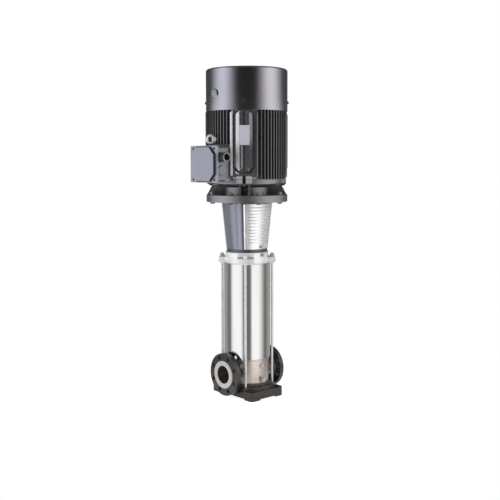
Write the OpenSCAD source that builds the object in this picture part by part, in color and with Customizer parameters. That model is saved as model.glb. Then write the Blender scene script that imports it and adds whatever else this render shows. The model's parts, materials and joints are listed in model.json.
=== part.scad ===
// Vertical multistage in-line centrifugal pump with a flange-mounted motor.
// +Z is up, the ports lie along X (inlet at -X), and the origin is the middle of the base's underside.

/* [Base plate] */
// Width of the base plate along the ports
base_w = 240; // [220:1:260]
// Depth of the base plate across the ports
base_d = 348; // [330:1:380]
// Height of the base plate's flat top
base_h = 48; // [44:1:54]
// Corner radius of the base plate
base_corner_r = 25; // [15:1:32]
// Wall of the base plate casting
base_wall = 13; // [10:1:16]
// Height of the arched gap between the feet
foot_gap_h = 7; // [4:1:10]
// Length of each foot along the edge
foot_len = 62; // [50:1:70]
// Foundation hole spacing along the ports
foot_dx = 190; // [180:1:196]
// Foundation hole spacing across the ports
foot_dy = 280; // [270:1:290]
// Foundation hole diameter
foot_hole_d = 18; // [14:1:20]
// Diameter of the round seat for the pump body
seat_d = 316; // [308:1:324]
// Height of the round seat above the plate
seat_h = 18; // [12:1:24]
// Height of the rim round the pump body
rim_h = 14; // [8:1:20]
// Width of the rim round the pump body
rim_w = 10; // [6:1:10]

/* [Pump body] */
// Height of the port axis above the floor
port_z = 131; // [128:1:134]
// Distance from the pump axis to each port face
port_face = 178; // [174:1:190]
// Port bore diameter
port_bore_d = 100; // [90:1:100]
// Outer diameter of the port stubs
stub_d = 124; // [118:1:128]
// Outer diameter of the sealing collars
collar_d = 152; // [148:1:160]
// Thickness of the sealing collars
collar_t = 10; // [8:1:12]
// Outer diameter of the pump body
body_d = 246; // [240:1:250]
// Height of the pump body
body_h = 149; // [144:1:160]
// Wall of the pump body
body_wall = 8; // [6:1:10]
// Inner diameter of the suction eye
eye_d = 140; // [130:1:144]
// Wall of the suction eye
eye_wall = 6; // [4:1:8]
// Diameter of the drain plug's thread
drain_d = 20; // [14:1:24]
// Diameter of the gauge plugs' thread
gauge_d = 14; // [10:1:16]

/* [Port flanges] */
// Outer diameter of the loose flanges
flange_d = 235; // [220:1:240]
// Thickness of the loose flanges
flange_t = 25; // [20:1:26]
// Distance from a loose flange's edge to its bolt circle
flange_edge = 22.5; // [18:0.5:26]
// Number of bolt holes in a loose flange
flange_holes = 8; // [4:4:8]
// Bolt hole diameter of the loose flanges
flange_hole_d = 22; // [18:1:22]
// Diameter of the hub behind a loose flange
flange_hub_d = 162; // [156:1:164]
// Length of the hub behind a loose flange
flange_hub_t = 11; // [8:1:12]
// How far a collar stands out of its flange
collar_proud = 5; // [2:1:6]

/* [Sleeve and staybolts] */
// Outer diameter of the sleeve
sleeve_d = 260; // [256:1:262]
// Wall of the sleeve
sleeve_wall = 4; // [3:1:5]
// Visible length of the sleeve
sleeve_len = 531; // [500:1:600]
// Depth of the spigots inside the sleeve
spigot_h = 22; // [18:1:26]
// Width and depth of the O-ring grooves
o_ring_w = 6; // [4:1:6]
// Diameter of the staybolts
stay_d = 14; // [10:1:16]
// Bolt circle of the staybolts
stay_pcd = 280; // [280:1:284]
// Thread depth of the staybolts in the base
stay_thread = 22; // [16:1:28]

/* [Stages] */
// Outer diameter of the stage chambers
chamber_d = 204; // [196:1:208]
// Wall of the stage chambers
chamber_wall = 4; // [3:1:5]
// Height of the suction chamber
suction_h = 20; // [16:1:24]
// Height of the top chamber
top_chamber_h = 38; // [30:1:44]
// Outer diameter of the impellers
impeller_d = 172; // [160:1:180]
// Height of an impeller's shrouds and blades
impeller_h = 34; // [28:1:38]
// Eye diameter of the impellers
impeller_eye_d = 88; // [80:1:92]
// Blades of each impeller
impeller_blades = 6; // [5:1:7]
// Guide vanes of each stage chamber
guide_vanes = 8; // [6:1:9]
// Diameter of the pump shaft
shaft_d = 32; // [28:1:36]

/* [Pump head] */
// Diameter of the pump head
head_d = 250; // [248:1:252]
// Height of the pump head
head_h = 62; // [58:1:80]
// Height of the four bolt lugs
lug_h = 32; // [26:1:50]
// Width of the four bolt lugs
lug_w = 92; // [80:1:96]
// Reach of the bolt lugs from the axis
lug_r = 160; // [155:1:162]
// Bore of the seal chamber
seal_d = 68; // [64:1:72]
// Diameter of the vent plug's thread
vent_d = 16; // [12:1:18]

/* [Motor stool] */
// Height of the stool
stool_h = 298; // [290:1:320]
// Diameter of the stool's foot
stool_foot_d = 228; // [222:1:232]
// Diameter of the stool below its flange
stool_top_d = 276; // [266:1:286]
// Wall of the stool
stool_wall = 10; // [8:1:12]
// Half of each window's angle
window_half = 50; // [46:1:54]
// Pitch of the slots in the guards
slot_pitch = 17.5; // [16:0.5:22]
// Height of the slots in the guards
slot_h = 3; // [2:0.5:6]
// Outer diameter of the coupling
coupling_d = 104; // [96:1:116]
// Length of the coupling
coupling_len = 176; // [160:1:190]

/* [Motor] */
// Diameter of the motor flange
motor_flange_d = 450; // [440:1:460]
// Thickness of the motor flange
motor_flange_t = 20; // [18:1:28]
// Distance from the motor flange's edge to its bolt circle
motor_edge = 25; // [20:1:28]
// Diameter of the motor flange bolts
motor_bolt_d = 16; // [12:1:18]
// Distance from the motor flange's bolt circle to its register
register_in = 25; // [22:1:30]
// Height of the drive-end shield
shield_h = 86; // [82:1:96]
// Length of the finned frame
frame_len = 388; // [375:1:420]
// Diameter over the fin tips
fin_tip_d = 464; // [456:1:468]
// Diameter at the fin roots
fin_root_d = 406; // [402:1:412]
// Number of fin places round the frame
fin_count = 76; // [60:4:80]
// Thickness of a fin at its tip
fin_t = 4.5; // [3:0.5:6]
// Half width of the octagonal pad frames
pad_half = 74; // [70:1:76]
// Bore of the motor frame
stator_d = 360; // [350:1:366]
// Diameter of the rotor
rotor_d = 220; // [200:1:230]
// Diameter of the motor shaft's coupling end
motor_shaft_d = 55; // [50:1:60]
// Length of the motor shaft's coupling end
motor_shaft_len = 110; // [100:1:116]

/* [Fan cowl] */
// Outer diameter of the fan cowl
cowl_d = 450; // [444:1:456]
// Height of the cowl's straight side
cowl_h = 229; // [210:1:240]
// Sheet thickness of the cowl
cowl_t = 3; // [2:0.5:4]
// Radius of the cowl's top edge
cowl_edge_r = 12; // [8:1:14]
// Rise of the cowl's domed end
cowl_dome_h = 15; // [10:1:20]
// Diameter of the fan
fan_d = 380; // [340:1:400]
// Diameter of the plug in the cowl's side
cowl_plug_d = 50; // [44:1:60]

/* [Terminal box] */
// Width of the terminal box
box_w = 202; // [190:1:206]
// Height of the terminal box
box_h = 186; // [176:1:190]
// Depth of the terminal box
box_depth = 58; // [54:1:70]
// Distance from the motor axis to the box floor
box_floor_r = 238; // [235:1:242]
// Wall of the terminal box
box_wall = 6; // [5:1:8]
// Width of the cover
cover_w = 228; // [216:1:232]
// Height of the cover
cover_h = 196; // [192:1:206]
// Thickness of the cover's border
cover_t = 9; // [8:1:12]
// Height of the octagonal panel above the cover's border
panel_h = 14; // [8:1:16]
// Outer diameter of the cable gland
gland_d = 54; // [46:1:56]
// Length of the cable gland outside the box
gland_len = 45; // [36:1:50]
// Cable hole of the gland
gland_bore_d = 34; // [26:1:36]

/* [Hidden] */
$fn = 64;
stages = 5;
clear = 0.3;
fit = 0.1;
running = 0.05;
eps = 1;

z_seat = base_h + seat_h;
z_rim = z_seat + rim_h;
z_sleeve = z_seat + body_h;
z_head = z_sleeve + sleeve_len;
z_head_top = z_head + head_h;
z_lug = z_head + lug_h;
z_stool_top = z_head_top + stool_h;
z_flange_top = z_stool_top + motor_flange_t;
z_frame = z_stool_top + shield_h;
z_frame_top = z_frame + frame_len;
z_cowl_top = z_frame_top + cowl_h;

seat_r = seat_d / 2;
body_r = body_d / 2;
body_in_r = body_r - body_wall;
body_floor = 12;
eye_r = eye_d / 2;
port_r = port_bore_d / 2;
stub_r = stub_d / 2;
flange_pcd = flange_d - 2 * flange_edge;
motor_pcd = motor_flange_d - 2 * motor_edge;
register_d = motor_pcd - 2 * register_in;
sleeve_in_r = sleeve_d / 2 - sleeve_wall;
spigot_r = sleeve_in_r - fit;
spigot_wall = 11;
stay_r = stay_pcd / 2;
stay_nut_h = 13;
stay_washer_h = 3;
stay_end = 5;
lip_h = 7;
gauge_angle = 30;
gauge_z = z_seat + 44;
drain_z = z_seat + 34;

stack_bottom = z_sleeve + suction_h;
stack_top = z_head - spigot_h - top_chamber_h;
stage_h = (stack_top - stack_bottom) / stages;
chamber_r = chamber_d / 2;
floor_t = 5;
hub_r = shaft_d / 2 + 8;
shaft_r = shaft_d / 2;
wear_w = 6;
skirt_t = 4;
impeller_gap = 3;
disc_t = 3;
guide_plate_t = 4;
guide_plate_z = floor_t + impeller_gap + impeller_h + 5;
guide_plate_r = chamber_r - chamber_wall - 14;
blade_t = 3;

seal_r = seal_d / 2;
seal_cover_h = 12;
shaft_top = z_stool_top - motor_shaft_len - 8;
coupling_bottom = z_stool_top - motor_shaft_len - 96;
stool_foot_h = 17;
stool_flange_t = 20;
stool_foot_r = stool_foot_d / 2;
stool_top_r = stool_top_d / 2;
z_window = z_head_top + stool_foot_h;
z_window_top = z_stool_top - stool_flange_t - 10;
guard_set_in = 2;
guard_t = 2;
guard_screw_z = z_window + 13;
guard_slot_z = 36;
window_reach = stool_top_r + 30;
vent_z = z_head_top - 13;
stool_bolt_r = 84;

bearing_r = 70;
bearing_in_r = 32.5;
bearing_w = 33;
z_bearing_de = z_flange_top + 6;
z_bearing_nde = z_frame_top + 12;
ball_r = 6.7;
ball_pitch_r = (bearing_r + bearing_in_r) / 2;
race_t = ball_pitch_r - bearing_in_r - ball_r - clear + 3;
stator_r = stator_d / 2;
rotor_r = rotor_d / 2;
air_gap = 0.8;
core_z = z_frame + 85;
core_len = frame_len - 135;
winding_h = 38;
fin_tip_r = fin_tip_d / 2;
fin_root_r = fin_root_d / 2;
fin_pitch = 360 / fin_count;
frame_ring_h = 20;
z_fin = z_frame + frame_ring_h;
box_sector = 30;
z_box = z_frame + 101;
z_box_clear = z_box + cover_h / 2 + 10;
frame_ring_r = fin_root_r - 3;
pad_bottom = z_frame + 25;
pad_top = z_frame_top - 1;
pad_face_r = fin_tip_r - 6;
pad_base_r = stator_d / 2 + 6;
rail_t = 13;
rail_face_r = pad_face_r - 4;
inner_pad_w = 88;
inner_pad_bevel = 17;
inner_pad_drop = 9;
rail_bevel = 6;
rail_drop = 3;
groove_w = 14;
shield_ring_r = 190;
shield_ring_z = z_frame - 14;
ear_t = 10;
shield_bolt_r = 200;
hub_tube_r = 124;
lug_half = 40;
lug_out_r = 217;
cowl_r = cowl_d / 2;
cowl_screw_z = z_frame_top + 48;
cowl_plug_z = z_frame_top + 90;
fan_z = z_frame_top + 62;
fan_h = 62;
fan_clear = 6;
eye_ring_x = box_floor_r + 22;
eye_ring_r = 21;
eye_wire_r = 6;
eye_z = z_box + cover_h / 2 + 34;
gland_x = box_floor_r + 27;
gland_z = z_box + 37;
blank_z = z_box - 33;
cover_screw_y = cover_w / 2 - 25;
cover_screw_z = cover_h / 2 - 16;
panel_w = cover_w - 36;
panel_len = cover_h - 18;

// Flat ring standing on z = 0
module ring(r_out, r_in, h) {
  difference() {
    cylinder(r = r_out, h = h);
    translate([0, 0, -eps]) cylinder(r = r_in, h = h + 2 * eps);
  }
}

// Hexagonal prism by its width across flats
module hex(across, h) {
  cylinder(r = across / sqrt(3), h = h, $fn = 6);
}

// Solid turned from a profile of [radius, height] points
module turned(points) {
  rotate_extrude() polygon(points);
}

// Children repeated on the four diagonals
module on_diagonals() {
  for (a = [45 : 90 : 315]) rotate(a) children();
}

// Children turned to lie along +X, from the axis outwards
module outwards(x = 0, z = 0) {
  translate([x, 0, z]) rotate([0, 90, 0]) children();
}

// Upright wedge about +X, open by half_angle on each side
module wedge(half_angle, reach, h) {
  spread = reach * tan(half_angle);
  linear_extrude(h) polygon([[0, 0], [reach, -spread], [reach, spread]]);
}

// Rectangle with round corners, centred
module rounded_plate(w, d, r, h) {
  linear_extrude(h) union() {
    square([w - 2 * r, d], center = true);
    square([w, d - 2 * r], center = true);
    for (x = [-1, 1], y = [-1, 1]) translate([x * (w / 2 - r), y * (d / 2 - r)]) circle(r = r);
  }
}

// Rectangle with cut corners, centred
module octagon(w, h, cut) {
  x = w / 2;
  y = h / 2;
  polygon([[x - cut, -y], [x, -y + cut], [x, y - cut], [x - cut, y],
           [-x + cut, y], [-x, y - cut], [-x, -y + cut], [-x + cut, -y]]);
}

// Octagonal pad standing on z = 0, with its four long edges bevelled by a width and a drop
module bevelled_pad(w, len, h, cut, bevel, drop) {
  intersection() {
    linear_extrude(h) octagon(w, len, cut);
    rotate([90, 0, 0]) linear_extrude(len + eps, center = true) bevelled_side(w, h, bevel, drop);
    rotate([90, 0, 90]) linear_extrude(w + eps, center = true) bevelled_side(len, h, bevel, drop);
  }
}

// Side view of a pad whose top corners are cut by a width and a drop
module bevelled_side(w, h, bevel, drop) {
  polygon([[-w / 2, 0], [w / 2, 0], [w / 2, h - drop], [w / 2 - bevel, h],
           [-w / 2 + bevel, h], [-w / 2, h - drop]]);
}

// Cross-section of curved blades between two radii
module blades(count, r_in, r_out, thick) {
  bend = r_out * 0.72;
  intersection() {
    difference() {
      circle(r = r_out);
      circle(r = r_in);
    }
    for (i = [0 : count - 1]) rotate(i * 360 / count) intersection() {
      translate([bend * 0.5, -bend * 0.72]) difference() {
        circle(r = bend);
        circle(r = bend - thick);
      }
      translate([0, -thick]) square([r_out, r_out]);
    }
  }
}

// Hexagon-head screw along +Z with its head's seat at z = 0
module hex_screw(d, len, across, head_h) {
  translate([0, 0, -len]) cylinder(d = d, h = len);
  hex(across, head_h);
}

module base_plate() color("#3a3a38") {
  hollow_w = base_w - 2 * base_wall;
  boss_r = foot_hole_d / 2 + base_wall;
  difference() {
    union() {
      difference() {
        rounded_plate(base_w, base_d, base_corner_r, base_h);
        translate([0, 0, -base_wall])
          rounded_plate(hollow_w, base_d - 2 * base_wall, base_corner_r - base_wall / 2, base_h);
      }
      intersection() {
        rounded_plate(base_w, base_d, base_corner_r, base_h);
        for (x = [-1, 1], y = [-1, 1]) translate([x * foot_dx / 2, y * foot_dy / 2, 0])
          cylinder(r = boss_r, h = base_h);
      }
      translate([0, 0, foot_gap_h]) cylinder(r = 30, h = base_h - foot_gap_h);
      for (a = [0, 90]) rotate(a) translate([-base_w / 2 + eps, -base_wall / 2, foot_gap_h])
        cube([base_w - 2 * eps, base_wall, base_h - foot_gap_h - eps]);
      intersection() {
        turned([[0, base_h - eps], [seat_r, base_h - eps], [seat_r, z_seat - 3], [seat_r - 3, z_seat],
                [body_r + rim_w + 4, z_seat], [body_r + rim_w, z_seat + 4],
                [body_r + rim_w, z_rim], [0, z_rim]]);
        translate([-base_w / 2 + 3, -base_d / 2, 0]) cube([base_w - 6, base_d, z_rim + eps]);
      }
    }
    translate([0, 0, z_seat]) cylinder(r = body_r + fit, h = rim_h + eps);
    for (x = [-1, 1], y = [-1, 1]) translate([x * foot_dx / 2, y * foot_dy / 2, -eps])
      cylinder(d = foot_hole_d, h = base_h + seat_h + 2 * eps);
    on_diagonals() translate([stay_r, 0, z_seat - stay_thread]) cylinder(d = stay_d + 2 * fit, h = z_rim);
    for (a = [0, 90]) rotate(a) {
      span = (a == 0 ? base_d : base_w) - 2 * foot_len;
      translate([-base_d, -span / 2, -eps]) cube([2 * base_d, span, foot_gap_h + eps]);
    }
  }
}

module pump_base() color("#cbc2bd") {
  difference() {
    union() {
      difference() {
        union() {
          turned([[0, z_seat], [body_r, z_seat], [body_r, z_sleeve - lip_h - 3],
                  [sleeve_d / 2 - 1, z_sleeve - lip_h], [sleeve_d / 2 - 1, z_sleeve], [spigot_r, z_sleeve],
                  [spigot_r, z_sleeve + spigot_h], [0, z_sleeve + spigot_h]]);
          outwards(-port_face, port_z) cylinder(r = stub_r, h = 2 * port_face);
          rotate(-90) translate([0, 0, drain_z]) outwards(body_r - 6) cylinder(d = drain_d + 16, h = 12);
          rotate(-90) translate([0, 0, z_seat + 108]) outwards(body_r - 6) cylinder(r = 15, h = 10);
          for (a = [180 + gauge_angle, -gauge_angle]) rotate(a)
            outwards(body_r - 6, gauge_z) cylinder(d = gauge_d + 12, h = 12);
        }
        translate([0, 0, z_seat + body_floor])
          cylinder(r = body_in_r, h = z_sleeve + spigot_h);
      }
      translate([0, 0, z_seat]) cylinder(r = eye_r + eye_wall, h = body_h);
      outwards(-body_r, port_z) cylinder(r = port_r + eye_wall, h = body_r - eye_r);
    }
    translate([0, 0, z_seat + body_floor]) cylinder(r = eye_r, h = body_h);
    outwards(-port_face - eps, port_z) cylinder(r = port_r, h = port_face - eye_r / 2);
    outwards(eye_r + eye_wall + eps, port_z) cylinder(r = port_r, h = port_face);
    translate([0, 0, z_sleeve + spigot_h / 2 - o_ring_w / 2])
      ring(sleeve_d, spigot_r - o_ring_w + 1, o_ring_w);
    rotate(-90) outwards(body_in_r - eps, drain_z) cylinder(d = drain_d, h = 40);
    for (a = [180 + gauge_angle, -gauge_angle]) rotate(a)
      outwards(body_in_r - eps, gauge_z) cylinder(d = gauge_d, h = 40);
  }
}

module port_collars() color("#d8d5d2") {
  for (side = [0, 180]) rotate(side)
    outwards(port_face - collar_t, port_z) ring(collar_d / 2, stub_r + running, collar_t);
}

// Loose flange on the +X side, swivelling on its stub behind the collar
module loose_flange() {
  front = port_face - collar_proud;
  back = front - flange_t;
  step = port_face - collar_t - clear;
  difference() {
    union() {
      outwards(back, port_z) cylinder(d = flange_d, h = flange_t);
      outwards(back - flange_hub_t, port_z)
        cylinder(d1 = flange_hub_d - 8, d2 = flange_hub_d, h = flange_hub_t + eps);
    }
    outwards(0, port_z) cylinder(r = stub_r + clear, h = port_face);
    outwards(step, port_z) cylinder(r = collar_d / 2 + clear, h = flange_t);
    for (i = [0 : flange_holes - 1]) translate([0, 0, port_z]) rotate([(i + 0.5) * 360 / flange_holes, 0, 0])
      translate([0, 0, flange_pcd / 2]) outwards(back - eps)
        cylinder(d = flange_hole_d, h = flange_t + 2 * eps);
  }
}

module inlet_flange() color("#2e2e2d") rotate(180) loose_flange();

module outlet_flange() color("#2e2e2d") loose_flange();

// Threaded plug whose shoulder sits at radius r
module body_plug(d, r, across, thread) {
  outwards(r - thread) cylinder(d = d - 2 * fit, h = thread);
  outwards(r) cylinder(d = across * 1.1, h = 3);
  outwards(r + 2) hex(across, 11);
}

module body_plugs() color("#c9c9c6") {
  rotate(-90) translate([0, 0, drain_z]) body_plug(drain_d, body_r + 6, 24, 14);
  for (a = [180 + gauge_angle, -gauge_angle]) rotate(a)
    translate([0, 0, gauge_z]) body_plug(gauge_d, body_r + 6, 14, 12);
}

module sleeve() color("#d9d9d8") {
  translate([0, 0, z_sleeve]) ring(sleeve_d / 2, sleeve_in_r, sleeve_len);
}

module sleeve_o_rings() color("#1b1b1b") {
  for (z = [z_sleeve + spigot_h / 2, z_head - spigot_h / 2]) translate([0, 0, z - o_ring_w / 2 + fit])
    ring(sleeve_in_r - fit / 2, spigot_r - o_ring_w + 1 + fit, o_ring_w - 2 * fit);
}

module staybolts() color("#c4c4c2") {
  bottom = z_seat - stay_thread;
  top = z_lug + stay_washer_h + stay_nut_h + stay_end;
  on_diagonals() translate([stay_r, 0, bottom]) cylinder(d = stay_d, h = top - bottom);
}

module staybolt_nuts() color("#d0d0cf") {
  on_diagonals() translate([stay_r, 0, z_lug]) {
    ring(stay_d, stay_d / 2 + fit, stay_washer_h);
    translate([0, 0, stay_washer_h]) difference() {
      hex(22, stay_nut_h);
      translate([0, 0, -eps]) cylinder(r = stay_d / 2 + running, h = stay_nut_h + 2 * eps);
    }
  }
}

module suction_chamber() color("#c2c0bd") {
  translate([0, 0, z_sleeve]) {
    ring(chamber_r, eye_r, floor_t);
    ring(chamber_r, chamber_r - chamber_wall, suction_h);
    translate([0, 0, suction_h - floor_t]) ring(chamber_r, impeller_eye_d / 2 + skirt_t + wear_w, floor_t);
    ring(hub_r + 8, hub_r, suction_h - floor_t - impeller_gap);
    for (a = [0 : 120 : 240]) rotate(a) translate([hub_r + 4, -4, 0])
      cube([eye_r - hub_r, 8, suction_h - floor_t - impeller_gap]);
  }
}

module stage_chamber(number) color("#b9bbbd") {
  eye = impeller_eye_d / 2 + skirt_t + clear + wear_w;
  translate([0, 0, stack_bottom + (number - 1) * stage_h]) {
    ring(chamber_r, chamber_r - chamber_wall, stage_h);
    ring(chamber_r - eps, eye + fit, floor_t);
    translate([0, 0, guide_plate_z]) ring(guide_plate_r, hub_r + clear, guide_plate_t);
    translate([0, 0, guide_plate_z + guide_plate_t - eps]) rotate(number * 17)
      linear_extrude(stage_h - guide_plate_z - guide_plate_t + eps)
        blades(guide_vanes, hub_r + 14, chamber_r - chamber_wall + eps, blade_t);
  }
}

module impeller(number) color("#c9ccd0") {
  r = impeller_d / 2;
  skirt_r = impeller_eye_d / 2 + skirt_t;
  translate([0, 0, stack_bottom + (number - 1) * stage_h]) {
    translate([0, 0, floor_t + impeller_gap]) {
      ring(r, impeller_eye_d / 2, disc_t);
      translate([0, 0, impeller_h - disc_t]) ring(r, shaft_r + running, disc_t);
      translate([0, 0, disc_t - 0.5]) rotate(number * 25)
        linear_extrude(impeller_h - 2 * disc_t + 1) blades(impeller_blades, hub_r + 6, r, blade_t);
    }
    ring(skirt_r, impeller_eye_d / 2, floor_t + impeller_gap + disc_t);
    translate([0, 0, -floor_t]) ring(hub_r, shaft_r + running, stage_h);
  }
}

module wear_rings() color("#7d6f4e") {
  skirt_r = impeller_eye_d / 2 + skirt_t;
  for (i = [0 : stages - 1]) translate([0, 0, stack_bottom + i * stage_h])
    ring(skirt_r + clear + wear_w, skirt_r + clear, floor_t);
}

module top_chamber() color("#b9bbbd") {
  translate([0, 0, stack_top]) difference() {
    union() {
      ring(chamber_r, chamber_r - chamber_wall, top_chamber_h);
      translate([0, 0, top_chamber_h - floor_t]) ring(chamber_r, hub_r + 30, floor_t);
    }
    for (i = [0 : 7]) rotate(i * 45)
      outwards(chamber_r - 3 * chamber_wall, top_chamber_h / 2) cylinder(r = 11, h = 6 * chamber_wall);
  }
}

module stack_straps() color("#bfc1c2") {
  strap_w = 22;
  strap_t = 2;
  on_diagonals() translate([chamber_r + fit, -strap_w / 2, z_sleeve])
    cube([strap_t, strap_w, z_head - spigot_h - z_sleeve]);
}

module pump_shaft() color("#cfd2d4") {
  bottom = z_sleeve - 8;
  turned([[0, bottom], [shaft_r - 2, bottom], [shaft_r, bottom + 2], [shaft_r, shaft_top - 2],
          [shaft_r - 2, shaft_top], [0, shaft_top]]);
}

module shaft_bushes() color("#4b4b4d") {
  translate([0, 0, z_sleeve]) ring(hub_r - fit, shaft_r + running, suction_h - floor_t - impeller_gap);
}

module pump_head() color("#e4e4e6") {
  top_wall = 23;
  tube_wall = 10;
  cavity_r = spigot_r - spigot_wall;
  pocket_r = 116;
  difference() {
    union() {
      turned([[cavity_r, z_head - spigot_h], [spigot_r, z_head - spigot_h], [spigot_r, z_head],
              [head_d / 2, z_head], [head_d / 2, z_head_top - 3], [head_d / 2 - 3, z_head_top],
              [seal_r, z_head_top], [seal_r, z_head], [seal_r + tube_wall, z_head],
              [seal_r + tube_wall, z_head_top - top_wall], [cavity_r - 8, z_head_top - top_wall],
              [cavity_r, z_head_top - top_wall - 8]]);
      intersection() {
        turned([[cavity_r + 5, z_head], [lug_r - 6, z_head], [lug_r, z_head + 6], [lug_r - 4, z_lug],
                [cavity_r + 5, z_lug]]);
        on_diagonals() translate([0, -lug_w / 2, z_head]) cube([lug_r + eps, lug_w, lug_h]);
      }
    }
    on_diagonals() {
      translate([pocket_r, -lug_w / 2 + 3, z_lug]) cube([lug_r, lug_w - 6, head_h]);
      translate([stay_r, 0, z_head - eps]) cylinder(r = stay_d / 2 + clear, h = head_h);
      translate([stool_bolt_r, 0, z_head_top - 19]) cylinder(d = 12 + 2 * fit, h = 20);
    }
    translate([0, 0, z_head - spigot_h / 2 - o_ring_w / 2]) ring(sleeve_d, spigot_r - o_ring_w + 1, o_ring_w);
    rotate(-90) outwards(head_d / 2 - 20, vent_z) cylinder(d = vent_d, h = 30);
  }
}

module seal_seat() color("#5a5552") {
  translate([0, 0, z_head_top - 14]) ring(seal_r - fit, shaft_r + 2 * clear, 14);
}

module seal_rotor() color("#8f9295") {
  bottom = z_head + 12;
  top = z_head_top - 14 - clear;
  turned([[shaft_r + running, bottom], [seal_r - 8, bottom], [seal_r - 8, top - 16], [seal_r - 4, top - 16],
          [seal_r - 4, top], [shaft_r + running, top]]);
}

module seal_cover() color("#c6c8ca") {
  translate([0, 0, z_head_top]) difference() {
    ring(seal_r + 14, shaft_r + 2 * clear, seal_cover_h);
    on_diagonals() translate([seal_r + 7, 0, seal_cover_h - 6]) cylinder(d = 8, h = 8);
  }
}

module vent_plug() color("#4a4a4c") {
  rotate(-90) translate([0, 0, vent_z]) difference() {
    union() {
      outwards(head_d / 2 - 16) cylinder(d = vent_d - 2 * fit, h = 16);
      outwards(head_d / 2) hex(19, 7);
    }
    outwards(head_d / 2 - 17) cylinder(r = 3 + running, h = 40);
  }
}

module vent_screw() color("#9a9a9c") {
  rotate(-90) translate([0, 0, vent_z]) {
    outwards(head_d / 2 - 14) cylinder(r = 3, h = 22);
    outwards(head_d / 2 + 7 + clear) difference() {
      cylinder(r = 6, h = 5);
      translate([-1, -7, 3]) cube([2, 14, 3]);
    }
  }
}

// Profile of the stool's cone between its foot and its flange, at a set-in from the outside
function stool_cone(set_in) = [[stool_foot_r - 1 - set_in, z_window], [stool_top_r - set_in, z_window_top]];

module motor_stool() color("#7a7c88") {
  outer = stool_cone(0);
  inner = stool_cone(stool_wall);
  z_flange = z_stool_top - stool_flange_t;
  register_r = register_d / 2 + fit;
  guard_tab_r = stool_foot_r - 1 - guard_set_in - guard_t - clear;
  difference() {
    union() {
      difference() {
        turned([[60, z_head_top], [stool_foot_r, z_head_top], outer[0], outer[1],
                [stool_top_r + 14, z_flange], [motor_flange_d / 2, z_flange],
                [motor_flange_d / 2, z_stool_top], [register_r, z_stool_top], [register_r, z_stool_top - 5],
                [inner[1][0] - 14, z_stool_top - 5], [inner[1][0] - 14, z_flange], inner[1], inner[0],
                [60, z_window]]);
        for (a = [90, 270]) rotate(a) translate([0, 0, z_window])
          wedge(window_half, window_reach, z_window_top - z_window);
      }
      for (a = [90, 270]) rotate(a) translate([guard_tab_r - 16, -12, z_window - eps])
        cube([16, 24, 26 + eps]);
    }
    for (i = [0 : 7]) rotate(22.5 + i * 45) translate([motor_pcd / 2, 0, z_flange - eps])
      cylinder(d = motor_bolt_d + 2, h = stool_flange_t + 2 * eps);
    on_diagonals() translate([stool_bolt_r, 0, z_head_top - eps])
      cylinder(d = 13, h = stool_foot_h + 2 * eps);
    for (a = [90, 270]) rotate(a) outwards(guard_tab_r - 14, guard_screw_z) cylinder(d = 6, h = 20);
  }
}

module stool_bolts() color("#b8b8b8") {
  on_diagonals() translate([stool_bolt_r, 0, z_window]) hex_screw(12, stool_foot_h + 17, 19, 8);
}

// Half-cone guard on the -Y side, with its rows of slots
module coupling_guard() {
  outer = stool_cone(guard_set_in);
  inner = stool_cone(guard_set_in + guard_t);
  rows = floor((z_window_top - z_window - guard_slot_z) / slot_pitch);
  rotate(-90) difference() {
    intersection() {
      turned([inner[0], outer[0], outer[1] - [0, clear], inner[1] - [0, clear]]);
      translate([0, 0, z_window]) wedge(window_half - 0.3, window_reach, z_window_top - z_window);
    }
    for (i = [0 : rows - 1]) translate([0, 0, z_window + guard_slot_z + i * slot_pitch])
      wedge(window_half - 10, window_reach, slot_h);
    outwards(60, guard_screw_z) cylinder(r = 3, h = 80);
  }
}

module coupling_guards() color("#dcdcda") {
  coupling_guard();
  rotate(180) coupling_guard();
}

module guard_screws() color("#8c8c8c") {
  seat = stool_foot_r + 0.9;
  for (a = [90, 270]) rotate(a) {
    outwards(seat - 14, guard_screw_z) cylinder(d = 5, h = 14);
    outwards(seat - 1, guard_screw_z) cylinder(r = 5.5, h = 4);
  }
}

module coupling_halves() color("#8e9092") {
  split = 0.6;
  screw_x = coupling_d / 2 - 11;
  for (side = [0, 180]) rotate(side) difference() {
    translate([0, 0, coupling_bottom]) intersection() {
      turned([[0, 0], [coupling_d / 2 - 4, 0], [coupling_d / 2, 4], [coupling_d / 2, coupling_len - 4],
              [coupling_d / 2 - 4, coupling_len], [0, coupling_len]]);
      translate([-coupling_d, split / 2, 0]) cube([2 * coupling_d, coupling_d, coupling_len]);
    }
    translate([0, 0, coupling_bottom - eps]) cylinder(r = shaft_r + running, h = coupling_len);
    translate([0, 0, shaft_top + 4]) cylinder(d = motor_shaft_d + 2 * running, h = coupling_len);
    for (x = [-1, 1], z = [26 : 42 : coupling_len - 20]) translate([x * screw_x, 0, coupling_bottom + z]) {
      rotate([-90, 0, 0]) translate([0, 0, -eps]) cylinder(d = 10.4, h = coupling_d);
      rotate([-90, 0, 0]) translate([0, 0, 15]) cylinder(d = 18, h = coupling_d);
    }
  }
}

module coupling_screws() color("#6d6f72") {
  screw_x = coupling_d / 2 - 11;
  for (x = [-1, 1], z = [26 : 42 : coupling_len - 20])
    translate([x * screw_x, -15, coupling_bottom + z]) rotate([-90, 0, 0]) {
      cylinder(d = 10, h = 30);
      translate([0, 0, 30]) cylinder(d = 16, h = 9);
      translate([0, 0, -8]) hex(15, 8);
    }
}

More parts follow.
